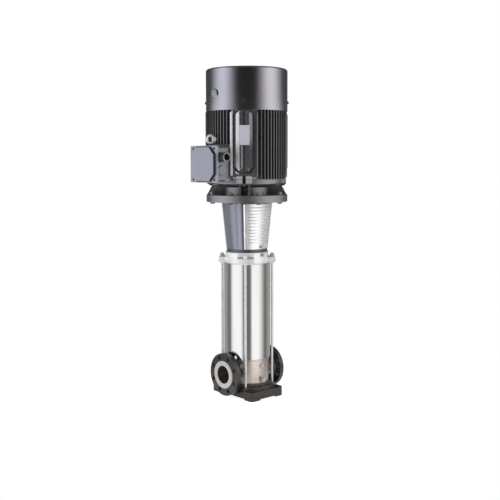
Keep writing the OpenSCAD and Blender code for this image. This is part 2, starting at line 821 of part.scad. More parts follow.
module drive_end_shield() color("#34343a") {
  rib_t = 10;
  rib_y = 24;
  web_t = 12;
  rim_r = motor_flange_d / 2;
  difference() {
    union() {
      turned([[bearing_r - 8, z_stool_top], [register_d / 2 - 10, z_stool_top],
              [register_d / 2 - 10, z_stool_top - 4], [register_d / 2, z_stool_top - 4],
              [register_d / 2, z_stool_top], [rim_r, z_stool_top],
              [rim_r, z_flange_top - 3], [rim_r - 3, z_flange_top],
              [hub_tube_r, z_flange_top], [hub_tube_r, shield_ring_z - 12], [hub_tube_r + 12, shield_ring_z],
              [shield_ring_r - 8, shield_ring_z], [shield_ring_r, shield_ring_z + 8],
              [shield_ring_r, z_frame], [stator_r + 4, z_frame], [stator_r + 4, shield_ring_z + web_t],
              [bearing_r + fit, shield_ring_z + web_t],
              [bearing_r + fit, z_bearing_de], [bearing_r - 8, z_bearing_de]]);
      on_diagonals() {
        for (y = [-rib_y, rib_y]) translate([0, y + rib_t / 2, 0]) rotate([90, 0, 0]) linear_extrude(rib_t)
          polygon([[hub_tube_r - 3, z_flange_top - eps], [rim_r - 6, z_flange_top - eps],
                   [shield_ring_r, shield_ring_z + 2], [hub_tube_r - 3, shield_ring_z + 2]]);
        translate([stator_r + 8, -lug_half, z_frame - ear_t])
          cube([lug_out_r - stator_r - 8, 2 * lug_half, ear_t]);
      }
    }
    for (i = [0 : 7]) rotate(22.5 + i * 45) translate([motor_pcd / 2, 0, z_stool_top - eps])
      cylinder(d = motor_bolt_d + 2, h = motor_flange_t + 2 * eps);
    on_diagonals() translate([shield_bolt_r, 0, z_frame - ear_t - eps]) cylinder(d = 13, h = ear_t + 2 * eps);
  }
}

module flange_bolts() color("#b4b4b4") {
  grip = stool_flange_t + motor_flange_t;
  across = motor_bolt_d * 1.5;
  for (i = [0 : 7]) rotate(22.5 + i * 45) translate([motor_pcd / 2, 0, z_stool_top - stool_flange_t]) {
    translate([0, 0, -10]) hex(across, 10);
    cylinder(d = motor_bolt_d, h = grip + motor_bolt_d);
    translate([0, 0, grip]) difference() {
      hex(across, motor_bolt_d * 0.8);
      translate([0, 0, -eps]) cylinder(r = motor_bolt_d / 2 + running, h = motor_bolt_d);
    }
  }
}

module motor_bearings() color("#a9acb0") {
  balls = 10;
  for (z = [z_bearing_de, z_bearing_nde]) translate([0, 0, z]) {
    difference() {
      ring(bearing_r, bearing_r - race_t, bearing_w);
      translate([0, 0, bearing_w / 2]) rotate_extrude()
        translate([ball_pitch_r, 0]) circle(r = ball_r + clear);
    }
    for (i = [0 : balls - 1])
      rotate(i * 360 / balls) translate([ball_pitch_r, 0, bearing_w / 2]) sphere(r = ball_r);
  }
}

module bearing_inner_rings() color("#b6b9bd") {
  for (z = [z_bearing_de, z_bearing_nde]) translate([0, 0, z]) difference() {
    ring(bearing_in_r + race_t, bearing_in_r, bearing_w);
    translate([0, 0, bearing_w / 2]) rotate_extrude() translate([ball_pitch_r, 0]) circle(r = ball_r + clear);
  }
}

// True where a fin place is taken by a pad, or by the terminal box below it
function in_pad(a) = abs((a % 90) - 45) < asin((pad_half + 6) / fin_root_r);
function in_box(a, low) = low && abs(a - 180) < box_sector;
function polar(r, a) = [r * cos(a), r * sin(a)];

// Outline of the finned frame; low leaves the fins out behind the terminal box
function fin_outline(low) = [
  for (i = [0 : fin_count - 1])
    let (a = (i + 0.5) * fin_pitch,
         root = asin((fin_t + 2) / 2 / fin_root_r),
         tip = asin(fin_t / 2 / fin_tip_r))
    for (p = in_pad(a) || in_box(a, low)
             ? [polar(fin_root_r, a - root), polar(fin_root_r, a + root)]
             : [polar(fin_root_r, a - root), polar(fin_tip_r, a - tip),
                polar(fin_tip_r, a + tip), polar(fin_root_r, a + root)])
      p
];

module motor_frame() color("#303033") {
  pad_h = pad_top - pad_bottom;
  channel_bottom = pad_bottom + 28;
  channel_top = z_frame_top + 6;
  inner_bottom = pad_bottom + 38;
  inner_h = z_frame_top - 4 - inner_bottom;
  lug_top = z_frame + 36;
  difference() {
    union() {
      translate([0, 0, z_frame]) cylinder(r = frame_ring_r, h = frame_ring_h);
      translate([0, 0, z_fin - eps]) linear_extrude(z_box_clear - z_fin + eps) polygon(fin_outline(true));
      translate([0, 0, z_box_clear]) linear_extrude(z_frame_top - z_box_clear) polygon(fin_outline(false));
      on_diagonals() {
        difference() {
          outwards(pad_base_r, pad_bottom + pad_h / 2) rotate(90)
            bevelled_pad(2 * pad_half, pad_h, rail_face_r - pad_base_r, 16, rail_bevel, rail_drop);
          outwards(pad_base_r - eps, (channel_bottom + channel_top) / 2) rotate(90)
            linear_extrude(rail_face_r - pad_base_r + 2 * eps)
            octagon(2 * (pad_half - rail_t), channel_top - channel_bottom, 30);
        }
        outwards(pad_base_r, inner_bottom + inner_h / 2) rotate(90)
          bevelled_pad(inner_pad_w, inner_h, pad_face_r - pad_base_r, 19, inner_pad_bevel, inner_pad_drop);
        translate([0, lug_half, 0]) rotate([90, 0, 0]) linear_extrude(2 * lug_half)
          polygon([[pad_base_r + 2, z_frame], [lug_out_r, z_frame], [lug_out_r, z_frame + 18],
                   [lug_out_r - 10, lug_top], [pad_base_r + 2, lug_top]]);
      }
      translate([-box_floor_r, -box_w / 2 + 6, z_box - box_h / 2 + 5])
        cube([box_floor_r - stator_r - 8, box_w - 12, box_h - 10]);
      rotate(180) outwards(stator_r + 8, eye_z) cylinder(r = 20, h = eye_ring_x - eye_ring_r - stator_r - 15);
    }
    translate([0, 0, z_frame - eps]) cylinder(r = stator_r, h = frame_len + 2 * eps);
    on_diagonals() {
      translate([pad_face_r - groove_w, -groove_w / 2, z_frame - eps])
        cube([2 * groove_w, groove_w, frame_len + 2 * eps]);
      translate([shield_bolt_r + 8, -groove_w / 2, z_frame - eps])
        cube([2 * groove_w, groove_w, lug_top - z_frame]);
      translate([shield_bolt_r, 0, z_frame - eps]) cylinder(d = 12 + 2 * fit, h = 26);
    }
    rotate(180) outwards(fin_root_r + 7, eye_z) cylinder(d = 12 + 2 * fit, h = 40);
  }
}

module stator_core() color("#6f7276") {
  translate([0, 0, core_z]) ring(stator_r - running, rotor_r + air_gap, core_len);
}

module stator_windings() color("#a8672f") {
  r_out = stator_r - 14;
  r_in = rotor_r + 14;
  for (z = [core_z - winding_h, core_z + core_len]) translate([0, 0, z])
    turned([[r_in + 6, 0], [r_out - 6, 0], [r_out, 8], [r_out, winding_h - 8], [r_out - 6, winding_h],
            [r_in + 6, winding_h], [r_in, winding_h - 8], [r_in, 8]]);
}

module rotor_core() color("#7b7e82") {
  translate([0, 0, core_z + 5]) ring(rotor_r, bearing_in_r + 8 + running, core_len - 10);
}

module motor_shaft() color("#c4c7ca") {
  bottom = z_stool_top - motor_shaft_len;
  small = motor_shaft_d / 2;
  seat = bearing_in_r - running;
  core = bearing_in_r + 8;
  de_top = z_bearing_de + bearing_w;
  turned([[0, bottom], [small - 2, bottom], [small, bottom + 2], [small, z_stool_top], [seat, z_stool_top],
          [seat, de_top], [core, de_top], [core, z_bearing_nde], [seat, z_bearing_nde],
          [seat, z_bearing_nde + bearing_w], [24, z_bearing_nde + bearing_w], [24, fan_z + fan_h - 8],
          [0, fan_z + fan_h - 8]]);
}

module rear_end_shield() color("#303033") {
  housing_r = bearing_r + 12;
  arm_r = fan_d / 2 + fan_clear;
  difference() {
    union() {
      turned([[bearing_r + fit, z_frame_top], [205, z_frame_top], [205, z_frame_top + 10],
              [housing_r + 8, z_frame_top + 10], [housing_r, z_frame_top + 22],
              [housing_r, z_bearing_nde + bearing_w + 4], [30, z_bearing_nde + bearing_w + 4],
              [30, z_bearing_nde + bearing_w + clear], [bearing_r + fit, z_bearing_nde + bearing_w + clear]]);
      on_diagonals() translate([arm_r, -16, z_frame_top]) cube([cowl_r - cowl_t - clear - 2 - arm_r, 32, 64]);
    }
    on_diagonals() outwards(cowl_r - 22, cowl_screw_z) cylinder(d = 8 + 2 * fit, h = 30);
  }
}

module cooling_fan() color("#2a2a2c") {
  translate([0, 0, fan_z]) {
    ring(38, 24 + running, fan_h - 10);
    ring(fan_d / 2 - 20, 24 + running, 4);
    for (i = [0 : 7]) rotate(i * 45) translate([30, -2, 0]) cube([fan_d / 2 - 30, 4, fan_h - 6]);
  }
}

// Points of the cowl's outside from its edge round to the axis, set in by t
function cowl_top(t) = concat(
  [for (a = [0 : 15 : 90]) [cowl_r - cowl_edge_r + (cowl_edge_r - t) * cos(a),
                            z_cowl_top - cowl_edge_r + (cowl_edge_r - t) * sin(a)]],
  [[(cowl_r - cowl_edge_r) * 0.66, z_cowl_top - t + cowl_dome_h * 0.56],
   [(cowl_r - cowl_edge_r) * 0.33, z_cowl_top - t + cowl_dome_h * 0.89],
   [0, z_cowl_top - t + cowl_dome_h]]);

module fan_cowl() color("#37373c") {
  outside = cowl_top(0);
  inside = cowl_top(cowl_t);
  last = len(inside) - 1;
  slot_rings = 6;
  difference() {
    turned(concat([[cowl_r - cowl_t, z_frame_top], [cowl_r, z_frame_top]], outside,
                  [for (i = [last : -1 : 0]) inside[i]]));
    translate([0, 0, z_cowl_top - cowl_edge_r]) linear_extrude(cowl_dome_h + 2 * cowl_edge_r) difference() {
      for (i = [0 : slot_rings - 1]) difference() {
        circle(r = 58 + i * 22);
        circle(r = 47 + i * 22);
      }
      for (a = [0 : 45 : 135]) rotate(a) square([2 * cowl_r, 12], center = true);
    }
    on_diagonals() outwards(cowl_r - 20, cowl_screw_z) cylinder(d = 9, h = 30);
    rotate(180) outwards(cowl_r - 30, cowl_plug_z) cylinder(r = cowl_plug_d / 2 + fit, h = 40);
  }
}

module cowl_plug() color("#3c3c42") {
  rotate(180) {
    outwards(cowl_r - 10, cowl_plug_z) cylinder(d = cowl_plug_d, h = 12);
    outwards(cowl_r + 2, cowl_plug_z) cylinder(r1 = cowl_plug_d / 2, r2 = cowl_plug_d / 2 - 4, h = 4);
  }
}

module cowl_screws() color("#222224") {
  on_diagonals() {
    outwards(cowl_r - 20, cowl_screw_z) cylinder(d = 8, h = 21);
    outwards(cowl_r + fit, cowl_screw_z) cylinder(r1 = 8, r2 = 5, h = 7);
  }
}

module terminal_box() color("#6b6c78") {
  rotate(180) difference() {
    outwards(box_floor_r, z_box) rotate(90) linear_extrude(box_depth) octagon(box_w, box_h, 10);
    outwards(box_floor_r + box_wall, z_box) rotate(90) linear_extrude(box_depth)
      octagon(box_w - 2 * box_wall, box_h - 2 * box_wall, 8);
    for (z = [gland_z, blank_z]) translate([gland_x, box_w / 2 - box_wall - eps, z]) rotate([-90, 0, 0])
      cylinder(r = gland_bore_d / 2 + 3 + fit, h = box_wall + 2 * eps);
  }
}

module terminal_box_cover() color("#8c8e9c") {
  face_r = box_floor_r + box_depth;
  groove = 5;
  rotate(180) difference() {
    outwards(face_r, z_box) rotate(90) {
      linear_extrude(cover_t - 4) octagon(cover_w, cover_h, 5);
      linear_extrude(cover_t) difference() {
        octagon(cover_w, cover_h, 5);
        octagon(panel_w + 2 * groove, panel_len + 2 * groove, 40);
      }
      linear_extrude(cover_t + panel_h) octagon(panel_w, panel_len, 38);
    }
    for (y = [-1, 1], z = [-1, 1]) translate([0, y * cover_screw_y, z_box + z * cover_screw_z])
      outwards(face_r + cover_t - 6) cylinder(r = 6, h = 10);
  }
}

module cover_screws() color("#222224") {
  rotate(180) for (y = [-1, 1], z = [-1, 1]) translate([0, y * cover_screw_y, z_box + z * cover_screw_z])
    outwards(box_floor_r + box_depth + cover_t - 6) difference() {
      cylinder(r = 5.5, h = 5);
      translate([0, 0, 2]) hex(5, 5);
    }
}

module terminal_board() color("#2b2320") {
  rotate(180) translate([box_floor_r + box_wall, 0, z_box]) {
    translate([0, -50, -35]) cube([14, 100, 70]);
    for (y = [-30, 0, 30], z = [-16, 16]) translate([14, y, z]) rotate([0, 90, 0]) cylinder(d = 8, h = 18);
  }
}

// Gland body along +Y from the box wall
module gland_shape(bore) {
  r = gland_d / 2;
  thread_r = gland_bore_d / 2 + 3;
  difference() {
    union() {
      translate([0, 0, -box_wall - 4]) cylinder(r = thread_r, h = box_wall + 5);
      hex(gland_d * 0.95, 14);
      translate([0, 0, 13]) cylinder(r = r - 4, h = 10);
      translate([0, 0, 21]) hex(gland_d * 0.9, gland_len - 25);
      translate([0, 0, gland_len - 5]) cylinder(r1 = r - 1, r2 = r - 5, h = 5);
    }
    translate([0, 0, -box_wall - 5]) cylinder(d = bore, h = gland_len + box_wall + 10);
  }
}

module cable_gland() color("#1f1f21") {
  rotate(180) translate([gland_x, box_w / 2, gland_z]) rotate([-90, 0, 0]) gland_shape(gland_bore_d);
}

module blanking_plug() color("#55565f") {
  rotate(180) translate([gland_x, box_w / 2, blank_z]) rotate([-90, 0, 0]) {
    translate([0, 0, -box_wall - 4]) cylinder(d = gland_bore_d + 6, h = box_wall + 5);
    cylinder(r1 = gland_d / 2 + 1, r2 = gland_d / 2 - 2, h = 7);
  }
}

module lifting_eye() color("#c9cbcd") {
  shank = eye_ring_x - eye_ring_r - 7;
  rotate(180) translate([0, 0, eye_z]) {
    translate([eye_ring_x, 0, 0]) rotate([90, 0, 0]) rotate_extrude()
      translate([eye_ring_r, 0]) circle(r = eye_wire_r);
    outwards(shank) cylinder(r1 = 15, r2 = 11, h = 5);
    outwards(shank - 20) cylinder(d = 12, h = 27);
  }
}

module shield_bolts() color("#1f1f21") {
  on_diagonals() translate([shield_bolt_r, 0, z_frame - ear_t]) rotate([180, 0, 0])
    hex_screw(12, ear_t + 22, 19, 8);
}

base_plate();
pump_base();
port_collars();
inlet_flange();
outlet_flange();
body_plugs();
sleeve();
sleeve_o_rings();
staybolts();
staybolt_nuts();
suction_chamber();
stage_chamber(1);  // stage_chamber_1
stage_chamber(2);  // stage_chamber_2
stage_chamber(3);  // stage_chamber_3
stage_chamber(4);  // stage_chamber_4
stage_chamber(5);  // stage_chamber_5
impeller(1);  // impeller_1
impeller(2);  // impeller_2
impeller(3);  // impeller_3
impeller(4);  // impeller_4
impeller(5);  // impeller_5
wear_rings();
top_chamber();
stack_straps();
pump_shaft();
shaft_bushes();
pump_head();
seal_seat();
seal_rotor();
seal_cover();
vent_plug();
vent_screw();
motor_stool();
stool_bolts();
coupling_guards();
guard_screws();
coupling_halves();
coupling_screws();
drive_end_shield();
flange_bolts();
motor_bearings();
bearing_inner_rings();
motor_frame();
stator_core();
stator_windings();
rotor_core();
motor_shaft();
rear_end_shield();
cooling_fan();
fan_cowl();
cowl_plug();
cowl_screws();
terminal_box();
terminal_box_cover();
cover_screws();
terminal_board();
cable_gland();
blanking_plug();
lifting_eye();
shield_bolts();
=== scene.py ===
import json
import math

import bmesh
import bpy
import numpy as np
from mathutils import Matrix, Vector


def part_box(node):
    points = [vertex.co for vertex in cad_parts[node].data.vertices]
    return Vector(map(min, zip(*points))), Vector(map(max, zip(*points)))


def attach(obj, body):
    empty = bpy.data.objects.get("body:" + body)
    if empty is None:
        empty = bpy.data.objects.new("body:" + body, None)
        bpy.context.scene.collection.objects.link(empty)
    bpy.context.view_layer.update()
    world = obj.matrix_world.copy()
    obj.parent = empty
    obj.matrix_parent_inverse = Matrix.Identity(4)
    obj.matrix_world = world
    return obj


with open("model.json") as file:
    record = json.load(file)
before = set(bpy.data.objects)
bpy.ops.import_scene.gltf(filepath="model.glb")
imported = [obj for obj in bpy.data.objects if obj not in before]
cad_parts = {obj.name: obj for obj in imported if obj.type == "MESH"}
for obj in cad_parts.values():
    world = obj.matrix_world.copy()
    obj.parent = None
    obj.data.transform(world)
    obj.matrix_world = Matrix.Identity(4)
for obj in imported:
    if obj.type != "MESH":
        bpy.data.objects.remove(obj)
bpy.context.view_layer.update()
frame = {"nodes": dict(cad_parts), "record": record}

MM = 0.001

# Camera: metres, radians and pixels of the photograph
PUMP_TO_CAMERA = 4.645
CAMERA_HEIGHT = 1.312
CAMERA_AZIMUTH = math.radians(228.866)
CAMERA_PITCH = math.radians(4.766)
CAMERA_ROLL = math.radians(-0.125)
CAMERA_SHIFT = (0.0060, -0.04)
FOCAL_PIXELS = 833.2
PICTURE_PIXELS = 500
SENSOR = 36.0

# Soft boxes that light the pump: name, turn from the camera's side and half width in degrees, radiance
SOFTBOXES = (("left_softbox", -56, 31, 1.5), ("right_softbox", 45, 25, 1.5),
             ("back_left_softbox", -135, 26, 0.55), ("back_right_softbox", 135, 26, 0.55))
LAMP_DISTANCE = 3.0
LAMP_HEIGHT = 3.8
LAMP_MIDDLE = 0.95

# Floor and world
FLOOR_RADIUS = 1.3
FLOOR_FADE = (0.30, 1.0)
FLOOR_LEVEL = -0.5 * MM
FLOOR_PALE = (0.90, 0.90, 0.90)
FLOOR_LIFT = 0.80
FLOOR_MIRRORED = 0.18
ROOM_LIGHT = 0.35

# Drum round the studio, which only mirrors see. At each height it shows dark cards, the room behind the turn
# room_from, both as screen greys, and soft boxes. A box comes up between its first two turns and goes down
# between the next two, in degrees from the camera's side. Its screen grey and its warmth come last.
DRUM_RADIUS = 3.4
DRUM_HEIGHTS = (-2.2, 4.6)
DRUM_STRENGTH = 1.32
DRUM_LID = (0.10, 0.10, 0.10)
LID_RADIUS = 0.97 * DRUM_RADIUS
ROOM_EDGE = 16
SLEEVE_GLOW = {"room": 146, "cards": 107, "room_from": 111,
               "boxes": ((-94, -70, -31, -15, 252, -0.02), (14, 26, 51, 101, 252, 0.02))}
FRAME_GLOW = {"room": 91, "cards": 55, "room_from": 93,
              "boxes": ((-128, -99, -79, -15, 245, -0.03), (15, 73, 91, 129, 238, 0.0))}
COWL_GLOW = {"room": 74, "cards": 43, "room_from": 113,
             "boxes": ((-123, -69, -68, -22, 242, -0.06), (21, 67, 69, 123, 248, 0.0))}
FRAME_GLOW_FROM = (0.60, 0.86)
COWL_GLOW_FROM = (1.68, 1.84)

# Steel, iron and paint, as linear colours
BLACK_IRON = (0.026, 0.022, 0.019)
BLACK_FLANGE = (0.032, 0.029, 0.027)
BLASTED_STEEL = (0.68, 0.615, 0.58)
POLISHED_STEEL = (0.72, 0.72, 0.71)
BRIGHT_CUT = (0.70, 0.69, 0.685)
PALE_STEEL = (0.94, 0.94, 0.95)
# Painted highlights on the left slope, the left rail and a band of the motor frame's front pad
LEFT_SLOPE_HIGHLIGHT = (0.66, 0.65, 0.67)
LEFT_RAIL_HIGHLIGHT = (0.80, 0.79, 0.81)
BAND_HIGHLIGHT = (0.40, 0.39, 0.41)
BARE_FOOT = (0.42, 0.41, 0.42)
# Grey of the painted shade in the corners of the head's lugs
LUG_CORNER_SHADE = (0.42, 0.42, 0.42)
SLATE_PAINT = (0.190, 0.195, 0.238)
SLATE_PANEL = (0.29, 0.292, 0.357)
GROOVE_SHADE = (0.045, 0.045, 0.055)
GAP_SHADE = (0.068, 0.063, 0.062)
SHADOW = (0.012, 0.012, 0.014)
# Grey of the painted shade on the stool's foot ring
FOOT_RING_SHADE = (0.115, 0.115, 0.125)
MOTOR_PAINT = (0.30, 0.295, 0.310)
COWL_PAINT = (0.475, 0.455, 0.495)

# Ports, head and stool: what their painted places go by
PORT_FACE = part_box("pump_base")[1].x
PORT_CUT = 0.8 * MM
LUG_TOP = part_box("staybolt_nuts")[0].z
LUG_HALF = 46 * MM
# Height and reach of the painted shade in the corner between each lug's top and the head's wall
LUG_SHADE_HEIGHT = 5.75 * MM
LUG_SHADE_REACH = 127.25 * MM
# Stool: heights of the painted shade on its foot ring and flange, and turns in degrees from a leg's middle of
# the painted highlights and shade up its legs
STOOL_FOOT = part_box("motor_stool")[0].z + 17 * MM
STOOL_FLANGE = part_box("motor_stool")[1].z - 20 * MM
LEG_MIDDLE = 19
LEG_STRIPE = (25.5, 34)
LEG_EDGE = 37

# Motor frame: heights above its lower end, and distances from its axis, off its diagonals or out to its front
# pad's face, with the slopes, the band and the rails of that pad to either side of its middle, which carry
# painted highlight and shade
FRAME_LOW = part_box("motor_frame")[0].z
FIN_SIDE = 81 * MM
FIN_FOOT = 20.5 * MM
FIN_GAP_R = 228 * MM
PAD_FOOT_HALF = 41 * MM
PAD_FOOT_HEIGHTS = (-2.5 * MM, 37 * MM)
FOOT_SLOT_HALF = 9 * MM
HUB_R = 150 * MM
HUB_HEIGHT = -4 * MM
PAD_FACE = 226 * MM
SLOPE_OUT = PAD_FACE - 9.6 * MM
SLOPE_FOOT = 49 * MM
LEFT_SLOPE = (23.75 * MM, 44.3 * MM)
RIGHT_SLOPE = (27 * MM, 44.3 * MM)
RIGHT_SLOPE_FADE = (268 * MM, 168 * MM)
LOWER_SLOPE_HALF = 25 * MM
LOWER_SLOPE_TOP = 84 * MM
BAND = (1.05 * MM, 13.25 * MM)
BAND_TOP = 200 * MM
RAIL = (60.3 * MM, 75.5 * MM)
RAIL_OUT = PAD_FACE - 13 * MM
RAIL_FOOT = 41 * MM
# Height above which the cowl's dome is painted dark as shade
COWL_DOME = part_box("fan_cowl")[1].z - 17 * MM

# Terminal box cover: its groove's outline and the wells of its screws, from the cover's middle
COVER_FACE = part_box("terminal_box_cover")[0].x
COVER_MIDDLE = sum(corner.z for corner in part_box("terminal_box_cover")) / 2
GROOVE_DEPTH = 1.8 * MM
GROOVE_SIDE = 100.8 * MM
GROOVE_TOP = 93.8 * MM
GROOVE_CORNER = 154.5 * MM
COVER_SCREW = (89 * MM, 82 * MM)
WELL_R = 7.8 * MM

# Nameplate on the front pad, with its levels as inset and height
PAD_TURN = 225
PLATE_SIZE = (53 * MM, 104 * MM)
PLATE_CORNER = 4 * MM
PLATE_HEIGHT = 1.446
PLATE_ASIDE = 3 * MM
PLATE_LEVELS = ((0.0, -0.3 * MM), (0.0, 0.9 * MM), (0.4 * MM, 1.2 * MM), (2.2 * MM, 1.2 * MM),
                (2.6 * MM, 0.8 * MM))
RIVET_INSET = 5.5 * MM
RIVET_R = 2.1 * MM
RIVET_FOOT = 0.7 * MM
RIVET_DOME = 1.3 * MM

# Coupling guards: height and radius at their two ends, turns in degrees from their middle, slots and louvres
GUARD_LOW = (0.825, 111 * MM)
GUARD_HIGH = (1.076, 136 * MM)
GUARD_MIDDLES = {"front": 270, "back": 90}
GUARD_HALF = 49.5
LIP_HALF = 45.0
LIP_PROUD = (5.4 * MM, 0.4 * MM)
# Black strips beside the lips: painted shade where each lip meets the sheet
SHADE_LINE_WIDTH = 0.75
SHADE_LINE_PROUD = 0.25 * MM
STRIP_TRIM = 1.5 * MM
STRIP_SUNK = 0.6 * MM
STRIP_BEVEL = 0.35
SLOT_FIRST = GUARD_LOW[0] + 36 * MM
SLOT_PITCH = 17.5 * MM
SLOT_ROWS = 12
SLOT_HEIGHT = 3 * MM
LOUVRE_HALF = 41.5
LOUVRE_OVER = 2.2 * MM
LOUVRE_UNDER = 0.4 * MM
LOUVRE_PROUD = 2.1 * MM
LOUVRE_SKIN = 0.15 * MM
LOUVRE_WALL = 0.7 * MM
LOUVRE_LAP = 0.2 * MM

# Rim of the open cable gland, and seams at the sleeve's ends
GLAND_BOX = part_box("cable_gland")
GLAND_MIDDLE = (GLAND_BOX[0] + GLAND_BOX[1]) / 2
GLAND_MOUTH = (GLAND_MIDDLE.x, GLAND_BOX[0].y + 0.5 * MM, GLAND_MIDDLE.z)
RIM_CORNERS = 8
RIM_R = 23.8 * MM
RIM_WIRE = 1.8 * MM
SLEEVE_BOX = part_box("sleeve")
SEAM_R = SLEEVE_BOX[1].x + 0.1 * MM
SEAM_WIRE = 0.5 * MM

towards_camera = Vector((math.cos(CAMERA_AZIMUTH), math.sin(CAMERA_AZIMUTH), 0.0))
to_the_right = Vector((-math.sin(CAMERA_AZIMUTH), math.cos(CAMERA_AZIMUTH), 0.0))


class Wire:
    """A socket that Python's operators extend with Math nodes."""

    def __init__(self, nodes, socket):
        self.nodes = nodes
        self.socket = socket

    def __add__(self, other):
        return self.nodes.maths("ADD", self, other)

    def __radd__(self, other):
        return self.nodes.maths("ADD", other, self)

    def __sub__(self, other):
        return self.nodes.maths("SUBTRACT", self, other)

    def __rsub__(self, other):
        return self.nodes.maths("SUBTRACT", other, self)

    def __mul__(self, other):
        return self.nodes.maths("MULTIPLY", self, other)

    def __rmul__(self, other):
        return self.nodes.maths("MULTIPLY", other, self)

    def __truediv__(self, other):
        return self.nodes.maths("DIVIDE", self, other)

    def __rtruediv__(self, other):
        return self.nodes.maths("DIVIDE", other, self)

    def __pow__(self, exponent):
        return self.nodes.maths("POWER", self, exponent)

    def __abs__(self):
        return self.nodes.maths("ABSOLUTE", self)

    def __gt__(self, other):
        return self.nodes.maths("GREATER_THAN", self, other)

    def __lt__(self, other):
        return self.nodes.maths("LESS_THAN", self, other)


class Nodes:
    """Adds nodes to one tree and links them."""

    def __init__(self, tree):
        self.tree = tree

    def node(self, kind, settings, sockets, out=0):
        """Output out of a new node. Its settings are set first, and then its sockets, by place or by name."""
        made = self.tree.nodes.new(kind)
        for key, value in settings.items():
            setattr(made, key, value)
        for key, value in sockets.items() if isinstance(sockets, dict) else enumerate(sockets):
            self.feed(made.inputs[key], value)
        return Wire(self, made.outputs[out])

    def feed(self, socket, value):
        """Links a wire to a socket, or sets the socket to a number or a colour."""
        if isinstance(value, Wire):
            self.tree.links.new(value.socket, socket)
        elif isinstance(value, tuple) and len(value) == 3 and len(socket.default_value) == 4:
            socket.default_value = (*value, 1.0)
        else:
            socket.default_value = value

    def surface(self, shader, kind="ShaderNodeOutputMaterial"):
        """Shows a shader through a new output node."""
        self.feed(self.tree.nodes.new(kind).inputs["Surface"], shader)

    def maths(self, operation, *values):
        return self.node("ShaderNodeMath", {"operation": operation}, values)

    def place(self):
        return self.node("ShaderNodeTexCoord", {}, (), "Object")

    def xyz(self):
        """The three coordinates of a place on the piece."""
        split = self.node("ShaderNodeSeparateXYZ", {}, (self.place(),))
        return [Wire(self, output) for output in split.socket.node.outputs]

    def noise(self, scale, detail=3.0, rough=0.55, stretch=None):
        """Cloudy pattern, or a streaky one where stretch gives a scale for each axis."""
        where = self.place()
        if stretch:
            where = self.node("ShaderNodeMapping", {}, {"Vector": where, "Scale": stretch})
        sockets = {"Vector": where, "Scale": scale, "Detail": detail, "Roughness": rough}
        return self.node("ShaderNodeTexNoise", {}, sockets, "Fac")

    def cells(self, scale):
        return self.node("ShaderNodeTexVoronoi", {}, {"Vector": self.place(), "Scale": scale}, "Distance")

    def steps(self, value, low, high, out_low=0.0, out_high=1.0):
        """Smooth step of value from low to high, running from out_low to out_high."""
        return self.node("ShaderNodeMapRange", {"interpolation_type": "SMOOTHSTEP"},
                         (value, low, high, out_low, out_high))

    def over(self, value, level, soft=MM):
        """1 where value is over a level and 0 where it is under, with an edge as wide as soft."""
        return self.steps(value, level - soft / 2, level + soft / 2)

    def under(self, value, level, soft=MM):
        return self.steps(value, level + soft / 2, level - soft / 2)

    def between(self, value, low, high, soft=MM):
        return self.over(value, low, soft) * self.under(value, high, soft)

    def blend(self, factor, first, second):
        """Colour from the first, at factor 0, to the second, at 1. Places 6 and 7 take the node's colours."""
        return self.node("ShaderNodeMix", {"data_type": "RGBA"}, {0: factor, 6: first, 7: second}, 2)

    def rounded(self, radius):
        return self.node("ShaderNodeBevel", {"samples": 4}, (radius,))

    def sharp_edges(self, radius):
        """1 where the surface turns sharply within radius, by comparing the rounded and the true normal."""
        normals = (self.rounded(radius), self.node("ShaderNodeNewGeometry", {}, (), "Normal"))
        same = self.node("ShaderNodeVectorMath", {"operation": "DOT_PRODUCT"}, normals, "Value")
        return self.steps(same, 0.995, 0.90)


class Finish(Nodes):
    """One material: constants go on the shader's own sockets, and patterns into the sockets that vary."""

    def __init__(self, name, **constants):
        self.name = name
        self.material = bpy.data.materials.new(name)
        self.material.use_nodes = True
        super().__init__(self.material.node_tree)
        self.shader = self.tree.nodes["Principled BSDF"]
        self.set(**constants)

    def set(self, **values):
        for key, value in values.items():
            self.feed(self.shader.inputs[key.replace("_", " ")], value)

    def patched(self, body, metal, patches):
        """Colour and metal with each patch's mask, colour and metal laid over them."""
        for mask, other, other_metal in (patches(self) if patches else ()):
            body = self.blend(mask, body, other)
            metal = self.steps(mask, 0.0, 1.0, metal, other_metal)
        return body, metal

    def relief(self, height, depth, strength, edge=None):
        """Bump of a given depth over the plain normal, or over edges rounded by a bevel of radius edge."""
        sockets = {"Height": height, "Distance": depth, "Strength": strength}
        if edge:
            sockets["Normal"] = self.rounded(edge)
        self.set(Normal=self.node("ShaderNodeBump", {}, sockets))


def shade(colour, factor):
    return tuple(c * factor for c in colour)


def length(x, y):
    """Length of the line (x, y): the root of x squared plus y squared."""
    return (x * x + y * y) ** 0.5


def off_diagonal(x, y):
    """Distance from the nearer diagonal, where the motor's pads and the head's lugs stand: the difference of
    x and y, without their signs, over the root of 2."""
    return abs(abs(x) - abs(y)) / math.sqrt(2)


